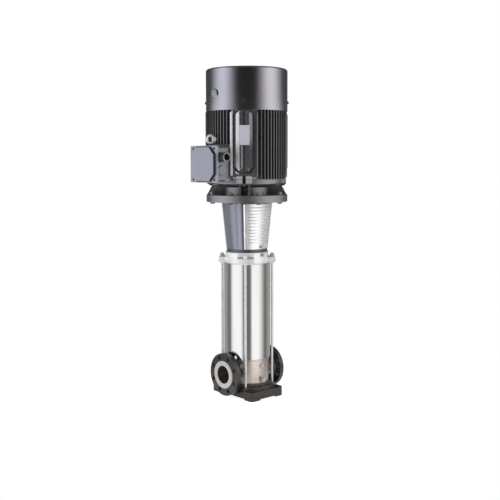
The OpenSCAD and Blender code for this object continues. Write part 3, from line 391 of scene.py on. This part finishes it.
def painted_casting(name, colour, sheen, metal=0.0, grain=0.25 * MM, edge=1.6 * MM, dust=0.10, wear_and_highlight=2.4,
                    coat=0.25, patches=None):
    """Enamel over a sand casting: a fine pebbled skin, clouded colour and paler edges, partly wear and partly
    painted highlight. patches gives a mask, a colour and a metal for each place of the casting that looks
    different."""
    f = Finish(name, Coat_Weight=coat, Coat_Roughness=0.2)
    cloud = f.noise(9.0, 4.0)
    fine = f.noise(420.0)
    broad = f.noise(60.0, 2.0)
    pale = tuple(min(1.0, c * (1.0 + wear_and_highlight) + 0.02) for c in colour)
    body = f.blend(f.steps(cloud, 0.35, 0.65), shade(colour, 1.0 - dust), shade(colour, 1.0 + dust))
    # Paler edges: partly wear and partly painted highlight
    body = f.blend(f.sharp_edges(edge) * 0.5, body, pale)
    body, metal = f.patched(body, metal, patches)
    f.set(Base_Color=body, Metallic=metal)
    f.set(Roughness=f.steps(fine * 0.5 + broad * 0.5, 0.3, 0.7, sheen - 0.05, sheen + 0.08))
    f.relief(fine * 0.6 + broad * 0.4, grain, 0.6, edge)
    return f


def frame_patches(f):
    """The fins painted darker as shade, with deeper painted shade on the skin between them, the bare
    feet of the pads with their slots painted as shadow, the hub painted darker as shade, and on the front
    pad painted highlights on its left slope, a band and its left rail, with painted shade on its right and
    lower slopes and its right rail."""
    x, y, z = f.xyz()
    height = z - FRAME_LOW
    out = (x + y) / -math.sqrt(2)
    rightwards = (x - y) / math.sqrt(2)
    leftwards = (y - x) / math.sqrt(2)
    fins = f.over(off_diagonal(x, y), FIN_SIDE, 2 * MM) * f.over(height, FIN_FOOT, 3 * MM)
    gaps = fins * f.under(length(x, y), FIN_GAP_R, 5 * MM)
    foot = f.under(off_diagonal(x, y), PAD_FOOT_HALF, 2 * MM) * f.between(height, *PAD_FOOT_HEIGHTS)
    slot = f.under(off_diagonal(x, y), FOOT_SLOT_HALF)
    hub = f.under(length(x, y), HUB_R, 4 * MM) * f.under(height, HUB_HEIGHT, 4 * MM)
    slopes = f.over(out, SLOPE_OUT) * f.over(height, SLOPE_FOOT, 2 * MM)
    left_slope = slopes * f.between(leftwards, *LEFT_SLOPE)
    right_slope = slopes * f.between(rightwards, *RIGHT_SLOPE) * f.steps(height, *RIGHT_SLOPE_FADE)
    lower_slope = (slopes * f.under(out, PAD_FACE - 0.6 * MM) * f.under(height, LOWER_SLOPE_TOP, 4 * MM)
                   * f.under(abs(rightwards), LOWER_SLOPE_HALF))
    band = f.over(out, PAD_FACE - 0.6 * MM) * f.under(height, BAND_TOP, 4 * MM) * f.between(leftwards, *BAND)
    rails = f.over(out, RAIL_OUT, 2 * MM) * f.over(height, RAIL_FOOT)
    return [(fins, shade(MOTOR_PAINT, 0.60), 0.9), (gaps, GAP_SHADE, 0.0),
            (foot * (1 - slot), BARE_FOOT, 0.25), (foot * slot, SHADOW, 0.2),
            (hub, shade(MOTOR_PAINT, 0.75), 0.9), (left_slope, LEFT_SLOPE_HIGHLIGHT, 0.35),
            (right_slope + lower_slope, shade(MOTOR_PAINT, 0.20), 0.6), (band, BAND_HIGHLIGHT, 0.3),
            (rails * f.between(leftwards, *RAIL), LEFT_RAIL_HIGHLIGHT, 0.35),
            (rails * f.between(rightwards, *RAIL), shade(MOTOR_PAINT, 0.65), 0.9)]


def stool_highlight_and_shade(f):
    """Painted highlights up the middle and on a stripe of each of the stool's two legs, and painted shade at
    their edges, told by the turn from a leg's middle; painted shade on its flange, in the motor's grey, and
    on its foot ring."""
    x, y, z = f.xyz()
    turn = f.maths("ARCTAN2", abs(y), abs(x)) * (180 / math.pi)
    return [(f.under(turn, LEG_MIDDLE, 10), shade(SLATE_PAINT, 1.4), 0.62),
            (f.between(turn, *LEG_STRIPE, 2.5), shade(SLATE_PAINT, 1.5), 0.62),
            (f.over(turn, LEG_EDGE, 2), shade(SLATE_PAINT, 0.35), 0.62),
            (f.over(z, STOOL_FLANGE - 0.5 * MM), MOTOR_PAINT, 0.9),
            (f.under(z, STOOL_FOOT + 0.5 * MM), FOOT_RING_SHADE, 0.65)]


def cover_patches(f):
    """Painted shade in the groove round the cover's raised panel, with its corners cut off, and in the wells
    of the screws.
    """
    x, y, z = f.xyz()
    side = abs(y)
    height = abs(z - COVER_MIDDLE)
    groove = (x > COVER_FACE + GROOVE_DEPTH) * (side < GROOVE_SIDE) * (height < GROOVE_TOP)
    well = length(side - COVER_SCREW[0], height - COVER_SCREW[1]) < WELL_R
    return [(groove * (side + height < GROOVE_CORNER), GROOVE_SHADE, 0.1), (well, SHADOW, 0.0)]


def blasted_steel(name, colour, rough, metal, tint=(1.0, 0.95, 0.92), grain=0.12 * MM, edge=1.5 * MM,
                  patches=None):
    """Bead-blasted stainless casting: a dense dull grain with faint tinted stains. patches is as for
    painted_casting."""
    f = Finish(name)
    grit = f.noise(900.0, 2.0)
    pits = f.noise(220.0)
    stain = f.steps(f.noise(14.0, 5.0, 0.62), 0.4, 0.68)
    stained = tuple(c * t * 0.88 for c, t in zip(colour, tint))
    body, metal = f.patched(f.blend(stain, colour, stained), metal, patches)
    f.set(Base_Color=body, Metallic=metal)
    f.set(Roughness=f.steps(grit * 0.4 + pits * 0.6, 0.3, 0.7, rough - 0.05, rough + 0.08))
    f.relief(grit * 0.5 + pits * 0.5, grain, 0.7, edge)
    return f


def port_patches(f):
    """The machined faces of the two ports."""
    x = f.xyz()[0]
    return [(abs(x) > PORT_FACE - PORT_CUT, BRIGHT_CUT, 0.4)]


def lug_shade_patches(f):
    """Painted shade in the corner between each lug's top and the head's wall."""
    x, y, z = f.xyz()
    corner = f.over(z, LUG_TOP) * f.under(z, LUG_TOP + LUG_SHADE_HEIGHT, 2.5 * MM)
    beside = f.under(off_diagonal(x, y), LUG_HALF, 2 * MM) * f.under(length(x, y), LUG_SHADE_REACH, 1.5 * MM)
    return [(corner * beside, LUG_CORNER_SHADE, 0.3)]


def turned_steel(name, colour, rough, metal=1.0, pitch=1.1 * MM):
    """Machined bright steel with faint tool marks along its length: a sine of z with the tool's pitch."""
    f = Finish(name, Metallic=metal)
    z = f.xyz()[2]
    marks = f.maths("SINE", z * (math.tau / pitch)) * 0.5 + 0.5
    smear = f.noise(60.0, 4.0)
    f.set(Base_Color=f.blend(f.steps(smear, 0.35, 0.7), colour, shade(colour, 0.86)))
    f.set(Roughness=f.steps(smear * 0.7 + marks * 0.3, 0.2, 0.8, rough - 0.06, rough + 0.1))
    f.relief(marks * 0.4 + smear * 0.6, 0.02 * MM, 0.5, 0.8 * MM)
    return f


def polished_tube(name, colour):
    """Rolled and polished tube: fine rings of polishing marks that soften the mirror."""
    f = Finish(name, Metallic=1.0)
    rings = f.noise(1.0, 5.0, 0.7, (3.0, 3.0, 1400.0))
    broad = f.noise(1.0, 3.0, 0.6, (5.0, 5.0, 60.0))
    wipe = f.noise(1.0, 3.0, 0.6, (30.0, 30.0, 2.5))
    f.set(Base_Color=f.blend(f.steps(wipe, 0.35, 0.7), colour, shade(colour, 0.94)))
    f.set(Roughness=f.steps(rings * 0.6 + broad * 0.4, 0.3, 0.7, 0.10, 0.17))
    f.relief(rings * 0.5 + broad * 0.5, 0.01 * MM, 0.35)
    return f


def brushed_sheet(name, colour, rough=0.25, metal=1.0):
    """Bright pressed sheet with fine upright brush marks."""
    f = Finish(name, Metallic=metal)
    brush = f.noise(1.0, 4.0, 0.65, (900.0, 900.0, 12.0))
    cloud = f.noise(25.0)
    f.set(Base_Color=f.blend(f.steps(cloud, 0.35, 0.7), colour, shade(colour, 0.9)))
    f.set(Roughness=f.steps(brush * 0.7 + cloud * 0.3, 0.3, 0.7, rough - 0.06, rough + 0.08))
    f.relief(brush, 0.02 * MM, 0.5, 0.6 * MM)
    return f


def cowl_enamel(name, colour, sheen):
    """Enamel over pressed sheet: very fine orange peel and an even colour. The dome over the fan is duller,
    and painted dark as shade.
    """
    f = Finish(name, Coat_Weight=0.15, Coat_Roughness=0.18)
    peel = f.noise(240.0, 2.0)
    cloud = f.noise(5.0)
    dome = f.over(f.xyz()[2], COWL_DOME, 2 * MM)
    body = f.blend(f.steps(cloud, 0.3, 0.7), shade(colour, 0.96), shade(colour, 1.04))
    f.set(Base_Color=f.blend(dome, body, shade(colour, 0.06)), Metallic=1.0 - dome * 0.8)
    f.set(Roughness=f.steps(peel, 0.3, 0.7, sheen - 0.02, sheen + 0.03) + dome * 0.4)
    f.relief(peel, 0.02 * MM, 0.4, 1.0 * MM)
    return f


def moulded(name, colour, rough):
    """Moulded plastic or rubber with a fine spark-eroded texture."""
    f = Finish(name)
    skin = f.cells(700.0)
    cloud = f.noise(30.0)
    f.set(Base_Color=f.blend(f.steps(cloud, 0.3, 0.7), colour, tuple(c * 1.3 + 0.004 for c in colour)))
    f.set(Roughness=f.steps(skin, 0.1, 0.7, rough - 0.05, rough + 0.1))
    f.relief(skin, 0.05 * MM, 0.5, 0.5 * MM)
    return f


# Each slot of the record has the finish of the same name
SLOT_FINISHES = {finish.name: finish for finish in (
    painted_casting("base_iron", BLACK_IRON, 0.26, 0.0, 0.35 * MM, 5.0 * MM, 0.12, 7.0, 0.5),
    painted_casting("flange_iron", BLACK_FLANGE, 0.28, 0.0, 0.3 * MM, 2.4 * MM, 0.12, 5.0, 0.5),
    painted_casting("stool_paint", SLATE_PAINT, 0.30, 0.62, 0.04 * MM, 1.5 * MM, 0.03, 0.6,
                    patches=stool_highlight_and_shade),
    painted_casting("coupling_steel", (0.16, 0.16, 0.17), 0.4, 0.6),
    painted_casting("motor_black", MOTOR_PAINT, 0.30, 0.9, 0.12 * MM, 1.2 * MM, 0.06, 0.6,
                    patches=frame_patches),
    painted_casting("box_paint", (0.20, 0.20, 0.235), 0.26, 0.5, 0.04 * MM, 1.2 * MM, 0.03, 0.8),
    painted_casting("cover_paint", SLATE_PANEL, 0.24, 0.3, 0.02 * MM, 1.2 * MM, 0.02, 0.7,
                    patches=cover_patches),
    blasted_steel("cast_stainless", BLASTED_STEEL, 0.28, 0.95, patches=port_patches),
    blasted_steel("head_casting", PALE_STEEL, 0.42, 0.45, (0.98, 0.98, 1.0), 0.1 * MM, 2.0 * MM,
                  patches=lug_shade_patches),
    turned_steel("collar_steel", BRIGHT_CUT, 0.34, 0.4),
    turned_steel("plug_steel", (0.66, 0.66, 0.64), 0.22),
    turned_steel("bolt_steel", (0.74, 0.73, 0.72), 0.24, 0.6),
    turned_steel("wear_bronze", (0.45, 0.30, 0.12), 0.3),
    turned_steel("shaft_steel", (0.62, 0.63, 0.64), 0.18, pitch=0.5 * MM),
    turned_steel("cover_steel", (0.56, 0.58, 0.60), 0.28),
    turned_steel("dark_plug", (0.50, 0.50, 0.51), 0.30, 0.6),
    turned_steel("small_screw", (0.22, 0.22, 0.22), 0.35),
    turned_steel("bearing_steel", (0.55, 0.56, 0.58), 0.12),
    turned_steel("lamination_steel", (0.18, 0.19, 0.20), 0.4, pitch=1.0 * MM),
    turned_steel("winding_copper", (0.38, 0.14, 0.04), 0.35, pitch=1.6 * MM),
    turned_steel("zinc_steel", (0.88, 0.89, 0.90), 0.22, 0.7),
    polished_tube("sleeve_steel", POLISHED_STEEL),
    brushed_sheet("pressed_stainless", (0.50, 0.51, 0.52)),
    brushed_sheet("impeller_steel", (0.55, 0.57, 0.59)),
    brushed_sheet("guard_sheet", (0.96, 0.96, 0.97), 0.28, 0.6),
    cowl_enamel("cowl_paint", COWL_PAINT, 0.20),
    moulded("seal_rubber", (0.02, 0.02, 0.02), 0.55),
    moulded("bush_carbide", (0.06, 0.06, 0.065), 0.25),
    moulded("fan_plastic", (0.03, 0.03, 0.03), 0.5),
    moulded("black_screw", (0.02, 0.02, 0.02), 0.35),
    moulded("board_plastic", (0.06, 0.03, 0.02), 0.45),
    moulded("gland_plastic", (0.045, 0.044, 0.044), 0.30))}

# These nodes look different from the rest of their slot
NODE_FINISHES = {
    # The flange bolts are bolt steel painted dark as shade
    "flange_bolts": turned_steel("shaded_bolt", (0.26, 0.255, 0.25), 0.32, 0.6),
    "staybolts": turned_steel("staybolt_steel", (0.80, 0.795, 0.79), 0.24, 0.6),
    "lifting_eye": turned_steel("pale_zinc", (0.95, 0.95, 0.96), 0.25, 0.3)}


def dress_frame():
    """Gives each CAD node its own finish, or that of its slot."""
    for row in frame["record"]["subparts"]:
        node = frame["nodes"][row["node"]]
        finish = NODE_FINISHES.get(row["node"], SLOT_FINISHES[row["material_slot"]])
        if not node.material_slots:
            node.data.materials.append(finish.material)
        for slot in node.material_slots:
            slot.material = finish.material


def new_object(name, data):
    made = bpy.data.objects.new(name, data)
    bpy.context.scene.collection.objects.link(made)
    return made


def add_piece(name, mesh, finish):
    """Piece of a finished mesh, whose normals are turned outwards. It rides on the pump."""
    shell = bmesh.new()
    shell.from_mesh(mesh)
    bmesh.ops.remove_doubles(shell, verts=shell.verts, dist=1e-6)
    bmesh.ops.recalc_face_normals(shell, faces=shell.faces)
    shell.to_mesh(mesh)
    shell.free()
    piece = new_object(name, mesh)
    mesh.materials.append(finish.material)
    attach(piece, "pump")


def outline_mesh(name, outlines, ends="filled"):
    """Mesh of quads through closed outlines of shape (rows, columns, 3). The first and the last outline are
    filled, joined to each other or left open."""
    rows, columns = outlines.shape[:2]
    r, c = np.meshgrid(np.arange(rows if ends == "joined" else rows - 1), np.arange(columns), indexing="ij")
    this_row = r * columns
    next_row = (r + 1) % rows * columns
    beside = (c + 1) % columns
    quads = np.stack([this_row + c, this_row + beside, next_row + beside, next_row + c], axis=-1)
    faces = quads.reshape(-1, 4).tolist()
    if ends == "filled":
        faces.append(list(range(columns))[::-1])
        faces.append(list(range((rows - 1) * columns, rows * columns)))
    mesh = bpy.data.meshes.new(name)
    mesh.from_pydata(outlines.reshape(-1, 3).tolist(), [], faces)
    mesh.update()
    return mesh


def joined(name, meshes):
    """One mesh of several."""
    whole = bmesh.new()
    for mesh in meshes:
        whole.from_mesh(mesh)
        bpy.data.meshes.remove(mesh)
    mesh = bpy.data.meshes.new(name)
    whole.to_mesh(mesh)
    whole.free()
    return mesh


def polar(turn, radius, z):
    """Points at a turn in degrees from +X, as an array that ends in x, y, z."""
    a = np.radians(turn)
    return np.stack(np.broadcast_arrays(radius * np.cos(a), radius * np.sin(a), z), axis=-1)


def full_turn(count):
    """Evenly spaced turns in degrees, once round."""
    return np.linspace(0, 360, count, endpoint=False)


def on_pad(u, v, w):
    """Points u aside and v above the middle of the nameplate, and w out of the pad's face."""
    a = math.radians(PAD_TURN)
    aside, up, out = u + PLATE_ASIDE, v + PLATE_HEIGHT, w + PAD_FACE
    x = out * math.cos(a) - aside * math.sin(a)
    y = out * math.sin(a) + aside * math.cos(a)
    return np.stack([x, y, up], axis=-1)


def rounded_outline(width, height, radius, count=8):
    """Rectangle with quarter-circle corners, as arrays of u and v: a corner's centre plus radius times cos
    and sin."""
    quarter = np.radians(np.linspace(0, 90, count))
    angles = (np.arange(4)[:, None] * math.pi / 2 + quarter[None, :]).ravel()
    side_u = np.repeat([1, -1, -1, 1], count) * (width / 2 - radius)
    side_v = np.repeat([1, 1, -1, -1], count) * (height / 2 - radius)
    return side_u + radius * np.cos(angles), side_v + radius * np.sin(angles)


def nameplate():
    """Bare plate: its rim stands up and the field lies lower, as offsets of one rounded rectangle."""
    outlines = []
    for inset, height in PLATE_LEVELS:
        u, v = rounded_outline(PLATE_SIZE[0] - 2 * inset, PLATE_SIZE[1] - 2 * inset, PLATE_CORNER - inset)
        outlines.append(on_pad(u, v, np.full(u.shape, height)))
    return outline_mesh("nameplate", np.stack(outlines))


def rivet(u, v):
    """Domed rivet on the nameplate: radius times cos and height times sin of one quarter turn."""
    lift = np.radians(np.linspace(0, 84, 6))[:, None]
    around_it = np.radians(full_turn(16))[None, :]
    reach = RIVET_R * np.cos(lift)
    height = RIVET_FOOT + RIVET_DOME * np.sin(lift) + 0 * around_it
    return outline_mesh("rivet", on_pad(u + reach * np.cos(around_it), v + reach * np.sin(around_it), height))


def guard_radius(z):
    """Radius of the guard's cone at a height, on the line between its two ends."""
    (low, low_r), (high, high_r) = GUARD_LOW, GUARD_HIGH
    return low_r + (high_r - low_r) * (z - low) / (high - low)


def louvre(middle, slot_z):
    """Pressed hood over one slot. Its section is a thin quarter wave that leaves the sheet above the slot and
    ends proud below it. It fades to nothing at both ends, as 1 less the tenth power of the way there."""
    turns = np.linspace(-LOUVRE_HALF, LOUVRE_HALF, 27)[:, None]
    fade = np.clip(1 - np.abs(turns / LOUVRE_HALF) ** 10, 0, 1)
    way = np.linspace(0, 1, 6)[None, :]
    z = slot_z + SLOT_HEIGHT + LOUVRE_OVER - way * (SLOT_HEIGHT + LOUVRE_OVER + LOUVRE_UNDER)
    surface = guard_radius(z) + LOUVRE_PROUD * np.sin(way * math.pi / 2) ** 1.5 * fade
    outer = polar(middle + turns, surface + LOUVRE_SKIN, z)
    inner = polar(middle + turns, surface - LOUVRE_WALL, z - LOUVRE_LAP)
    return outline_mesh("louvre", np.concatenate([outer, inner[:, ::-1]], axis=1))


def guard_strip(middle, turn_from, turn_to, proud_from, proud_to):
    """Upright strip on the guard's cone between two turns, whose face rises from one edge to the other."""
    z = np.linspace(GUARD_LOW[0] + STRIP_TRIM, GUARD_HIGH[0] - STRIP_TRIM, 12)[:, None]
    bevel = math.copysign(min(STRIP_BEVEL, abs(turn_to - turn_from) / 4), turn_to - turn_from)
    turns = np.array([turn_from, turn_from, turn_from + bevel, turn_to - bevel, turn_to, turn_to])[None, :]
    rise = np.array([-STRIP_SUNK, proud_from * 0.7, proud_from, proud_to, proud_to * 0.7, -STRIP_SUNK])
    return outline_mesh("strip", polar(middle + turns, guard_radius(z) + rise[None, :], z))


def gland_rim():
    """Wire carried round an octagon about the Y axis. The octagon's reach is its radius times the cosine of
    half a side's turn, over the cosine of the turn from that side's middle."""
    side = 360 / RIM_CORNERS
    turns = np.arange(RIM_CORNERS * 6) * side / 6
    from_middle = turns % side - side / 2
    reach = RIM_R * math.cos(math.pi / RIM_CORNERS) / np.cos(np.radians(from_middle))
    path = np.radians(turns + side / 2)[:, None]
    section = np.radians(full_turn(12))[None, :]
    r = reach[:, None] + RIM_WIRE * np.cos(section)
    y = RIM_WIRE * np.sin(section) + 0 * r
    points = np.stack([r * np.cos(path), y, r * np.sin(path)], axis=-1)
    return outline_mesh("gland_rim", points + np.array(GLAND_MOUTH), "joined")


def sleeve_seam(z):
    """Thin ring about the pump's axis: a circle carried round."""
    section = np.radians(full_turn(8))[None, :]
    turns = full_turn(96)[:, None]
    points = polar(turns, SEAM_R + SEAM_WIRE * np.cos(section), z + SEAM_WIRE * np.sin(section))
    return outline_mesh("seam", points, "joined")


def add_pieces():
    """The pieces that the part's solids leave out."""
    plate_metal = brushed_sheet("plate_metal", (0.70, 0.69, 0.77), 0.34, 0.3)
    bright_rim = turned_steel("bright_rim", (0.60, 0.60, 0.59), 0.25)
    seam_black = moulded("seam_black", (0.02, 0.02, 0.02), 0.5)
    zinc_steel = SLOT_FINISHES["zinc_steel"]
    guard_sheet = SLOT_FINISHES["guard_sheet"]
    add_piece("nameplate", nameplate(), plate_metal)
    rivets = [rivet(across * (PLATE_SIZE[0] / 2 - RIVET_INSET), up * (PLATE_SIZE[1] / 2 - RIVET_INSET))
              for across in (-1, 1) for up in (-1, 1)]
    add_piece("nameplate_rivets", joined("rivets", rivets), zinc_steel)
    for side, middle in GUARD_MIDDLES.items():
        hoods = [louvre(middle, SLOT_FIRST + row * SLOT_PITCH) for row in range(SLOT_ROWS)]
        lips = [guard_strip(middle, way * LIP_HALF, way * GUARD_HALF, *LIP_PROUD) for way in (-1, 1)]
        # Black strips painted as shade where each lip meets the sheet
        dark_lines = [guard_strip(middle, way * (LIP_HALF - SHADE_LINE_WIDTH), way * LIP_HALF, SHADE_LINE_PROUD, SHADE_LINE_PROUD)
                 for way in (-1, 1)]
        add_piece("guard_louvres_" + side, joined("louvres", hoods), guard_sheet)
        add_piece("guard_lips_" + side, joined("lips", lips), guard_sheet)
        add_piece("guard_seams_" + side, joined("dark_lines", dark_lines), seam_black)
    add_piece("gland_rim", gland_rim(), bright_rim)
    dark_lines = [sleeve_seam(corner.z) for corner in SLEEVE_BOX]
    add_piece("sleeve_seams", joined("sleeve_seams", dark_lines), seam_black)


def set_camera():
    """The photograph's view. The photograph was taken level, with its frame shifted down. The other views
    keep the shift, so it is small here, and the camera looks a little down instead."""
    data = bpy.data.cameras.new("photo_camera")
    data.sensor_width = SENSOR
    data.lens = SENSOR * FOCAL_PIXELS / PICTURE_PIXELS
    data.shift_x, data.shift_y = CAMERA_SHIFT
    camera = new_object("photo_camera", data)
    camera.location = towards_camera * PUMP_TO_CAMERA + Vector((0, 0, CAMERA_HEIGHT))
    back = towards_camera * math.cos(CAMERA_PITCH) + Vector((0, 0, math.sin(CAMERA_PITCH)))
    above = back.cross(to_the_right)
    aside = to_the_right * math.cos(CAMERA_ROLL) + above * math.sin(CAMERA_ROLL)
    camera.rotation_euler = Matrix((aside, back.cross(aside), back)).transposed().to_euler()
    bpy.context.scene.camera = camera


def add_softbox(name, turn, half_angle, radiance):
    """Upright soft box that faces the pump at a turn to the right of the camera's side. Its power is the
    radiance times pi times its area."""
    data = bpy.data.lights.new(name, "AREA")
    data.shape = "RECTANGLE"
    data.size = 2 * LAMP_DISTANCE * math.tan(math.radians(half_angle))
    data.size_y = LAMP_HEIGHT
    data.energy = radiance * math.pi * data.size * data.size_y
    a = math.radians(turn)
    outwards = towards_camera * math.cos(a) + to_the_right * math.sin(a)
    lamp = new_object(name, data)
    lamp.location = outwards * LAMP_DISTANCE + Vector((0, 0, LAMP_MIDDLE))
    lamp.rotation_euler = (-outwards).to_track_quat("-Z", "Y").to_euler()
    lamp.visible_glossy = False


def staged_nodes(name, mesh):
    """A studio object that isn't part of the pump, and the nodes of its new empty material."""
    material = bpy.data.materials.new(name)
    material.use_nodes = True
    material.node_tree.nodes.clear()
    mesh.materials.append(material)
    staged = new_object(name, mesh)
    return staged, Nodes(material.node_tree)


def screen_grey(level, warmth=0.0):
    """Linear colour of a screen grey from 0 to 255, tinted warm or, below zero, cool."""
    value = (level / 255) ** 2.2
    return (value * (1 + warmth), value, value * (1 - warmth))


def glow_colour(nodes, turn, room, cards, room_from, boxes):
    """Colour of the drum at a turn: the cards, the room behind them, and each soft box laid over both."""
    colour = nodes.blend(nodes.over(abs(turn), room_from, ROOM_EDGE), screen_grey(cards), screen_grey(room))
    for up_from, up_to, down_from, down_to, level, warmth in boxes:
        lit = nodes.steps(turn, up_from, up_to) * nodes.steps(turn, down_to, down_from)
        colour = nodes.blend(lit, colour, screen_grey(level, warmth))
    return colour


def add_drum():
    """Cylinder with a lid round the studio, which only mirrors see. The sleeve, the motor's frame and its
    cowl each mirror another height of it."""
    low, high = DRUM_HEIGHTS
    turns = full_turn(96)
    outlines = [polar(turns, DRUM_RADIUS, low), polar(turns, DRUM_RADIUS, high), polar(turns, MM, high)]
    drum, nodes = staged_nodes("reflection_drum", outline_mesh("reflection_drum", np.stack(outlines), "open"))
    x, y, z = nodes.xyz()
    ahead = x * towards_camera.x + y * towards_camera.y
    aside = x * to_the_right.x + y * to_the_right.y
    turn = nodes.maths("ARCTAN2", aside, ahead) * (180 / math.pi)
    colour = glow_colour(nodes, turn, **SLEEVE_GLOW)
    colour = nodes.blend(nodes.steps(z, *FRAME_GLOW_FROM), colour, glow_colour(nodes, turn, **FRAME_GLOW))
    colour = nodes.blend(nodes.steps(z, *COWL_GLOW_FROM), colour, glow_colour(nodes, turn, **COWL_GLOW))
    colour = nodes.blend(length(x, y) < LID_RADIUS, colour, DRUM_LID)
    nodes.surface(nodes.node("ShaderNodeEmission", {}, {"Color": colour, "Strength": DRUM_STRENGTH}))
    drum.visible_camera = False
    drum.visible_diffuse = False
    drum.visible_shadow = False


def add_floor():
    """Pale disc that catches the shadow and fades out into the background."""
    radii = np.linspace(0.0, FLOOR_RADIUS, 8)[:, None]
    disc = outline_mesh("floor", polar(full_turn(64)[None, :], radii, FLOOR_LEVEL), "open")
    floor, nodes = staged_nodes("floor", disc)
    x, y = nodes.xyz()[:2]
    gone = nodes.steps(length(x, y), *FLOOR_FADE)
    seen = nodes.node("ShaderNodeLightPath", {}, (), "Is Camera Ray")
    mirrored = nodes.node("ShaderNodeLightPath", {}, (), "Is Glossy Ray")
    strength = seen * FLOOR_LIFT + mirrored * FLOOR_MIRRORED
    lift = nodes.node("ShaderNodeEmission", {}, {"Color": (1.0, 1.0, 1.0), "Strength": strength})
    matt = nodes.node("ShaderNodeBsdfDiffuse", {}, {"Color": FLOOR_PALE})
    pale = nodes.node("ShaderNodeAddShader", {}, (matt, lift))
    clear = nodes.node("ShaderNodeBsdfTransparent", {}, {})
    nodes.surface(nodes.node("ShaderNodeMixShader", {}, (gone, pale, clear)))


def set_world():
    """White for what the camera, mirrors and glass see, and a soft grey light for everything else."""
    world = bpy.data.worlds.new("studio")
    bpy.context.scene.world = world
    world.use_nodes = True
    world.node_tree.nodes.clear()
    nodes = Nodes(world.node_tree)
    seen, mirrored, through = (nodes.node("ShaderNodeLightPath", {}, (), ray)
                               for ray in ("Is Camera Ray", "Is Glossy Ray", "Is Transmission Ray"))
    strength = nodes.steps((seen + mirrored + through) > 0.5, 0.0, 1.0, ROOM_LIGHT, 1.0)
    back = nodes.node("ShaderNodeBackground", {}, {"Color": (1.0, 1.0, 1.0), "Strength": strength})
    nodes.surface(back, "ShaderNodeOutputWorld")


def light_studio():
    """World, soft boxes, drum and floor, at a plain level."""
    set_world()
    for softbox in SOFTBOXES:
        add_softbox(*softbox)
    add_drum()
    add_floor()
    bpy.context.scene.view_settings.view_transform = "Standard"


set_camera()
light_studio()
dress_frame()
add_pieces()
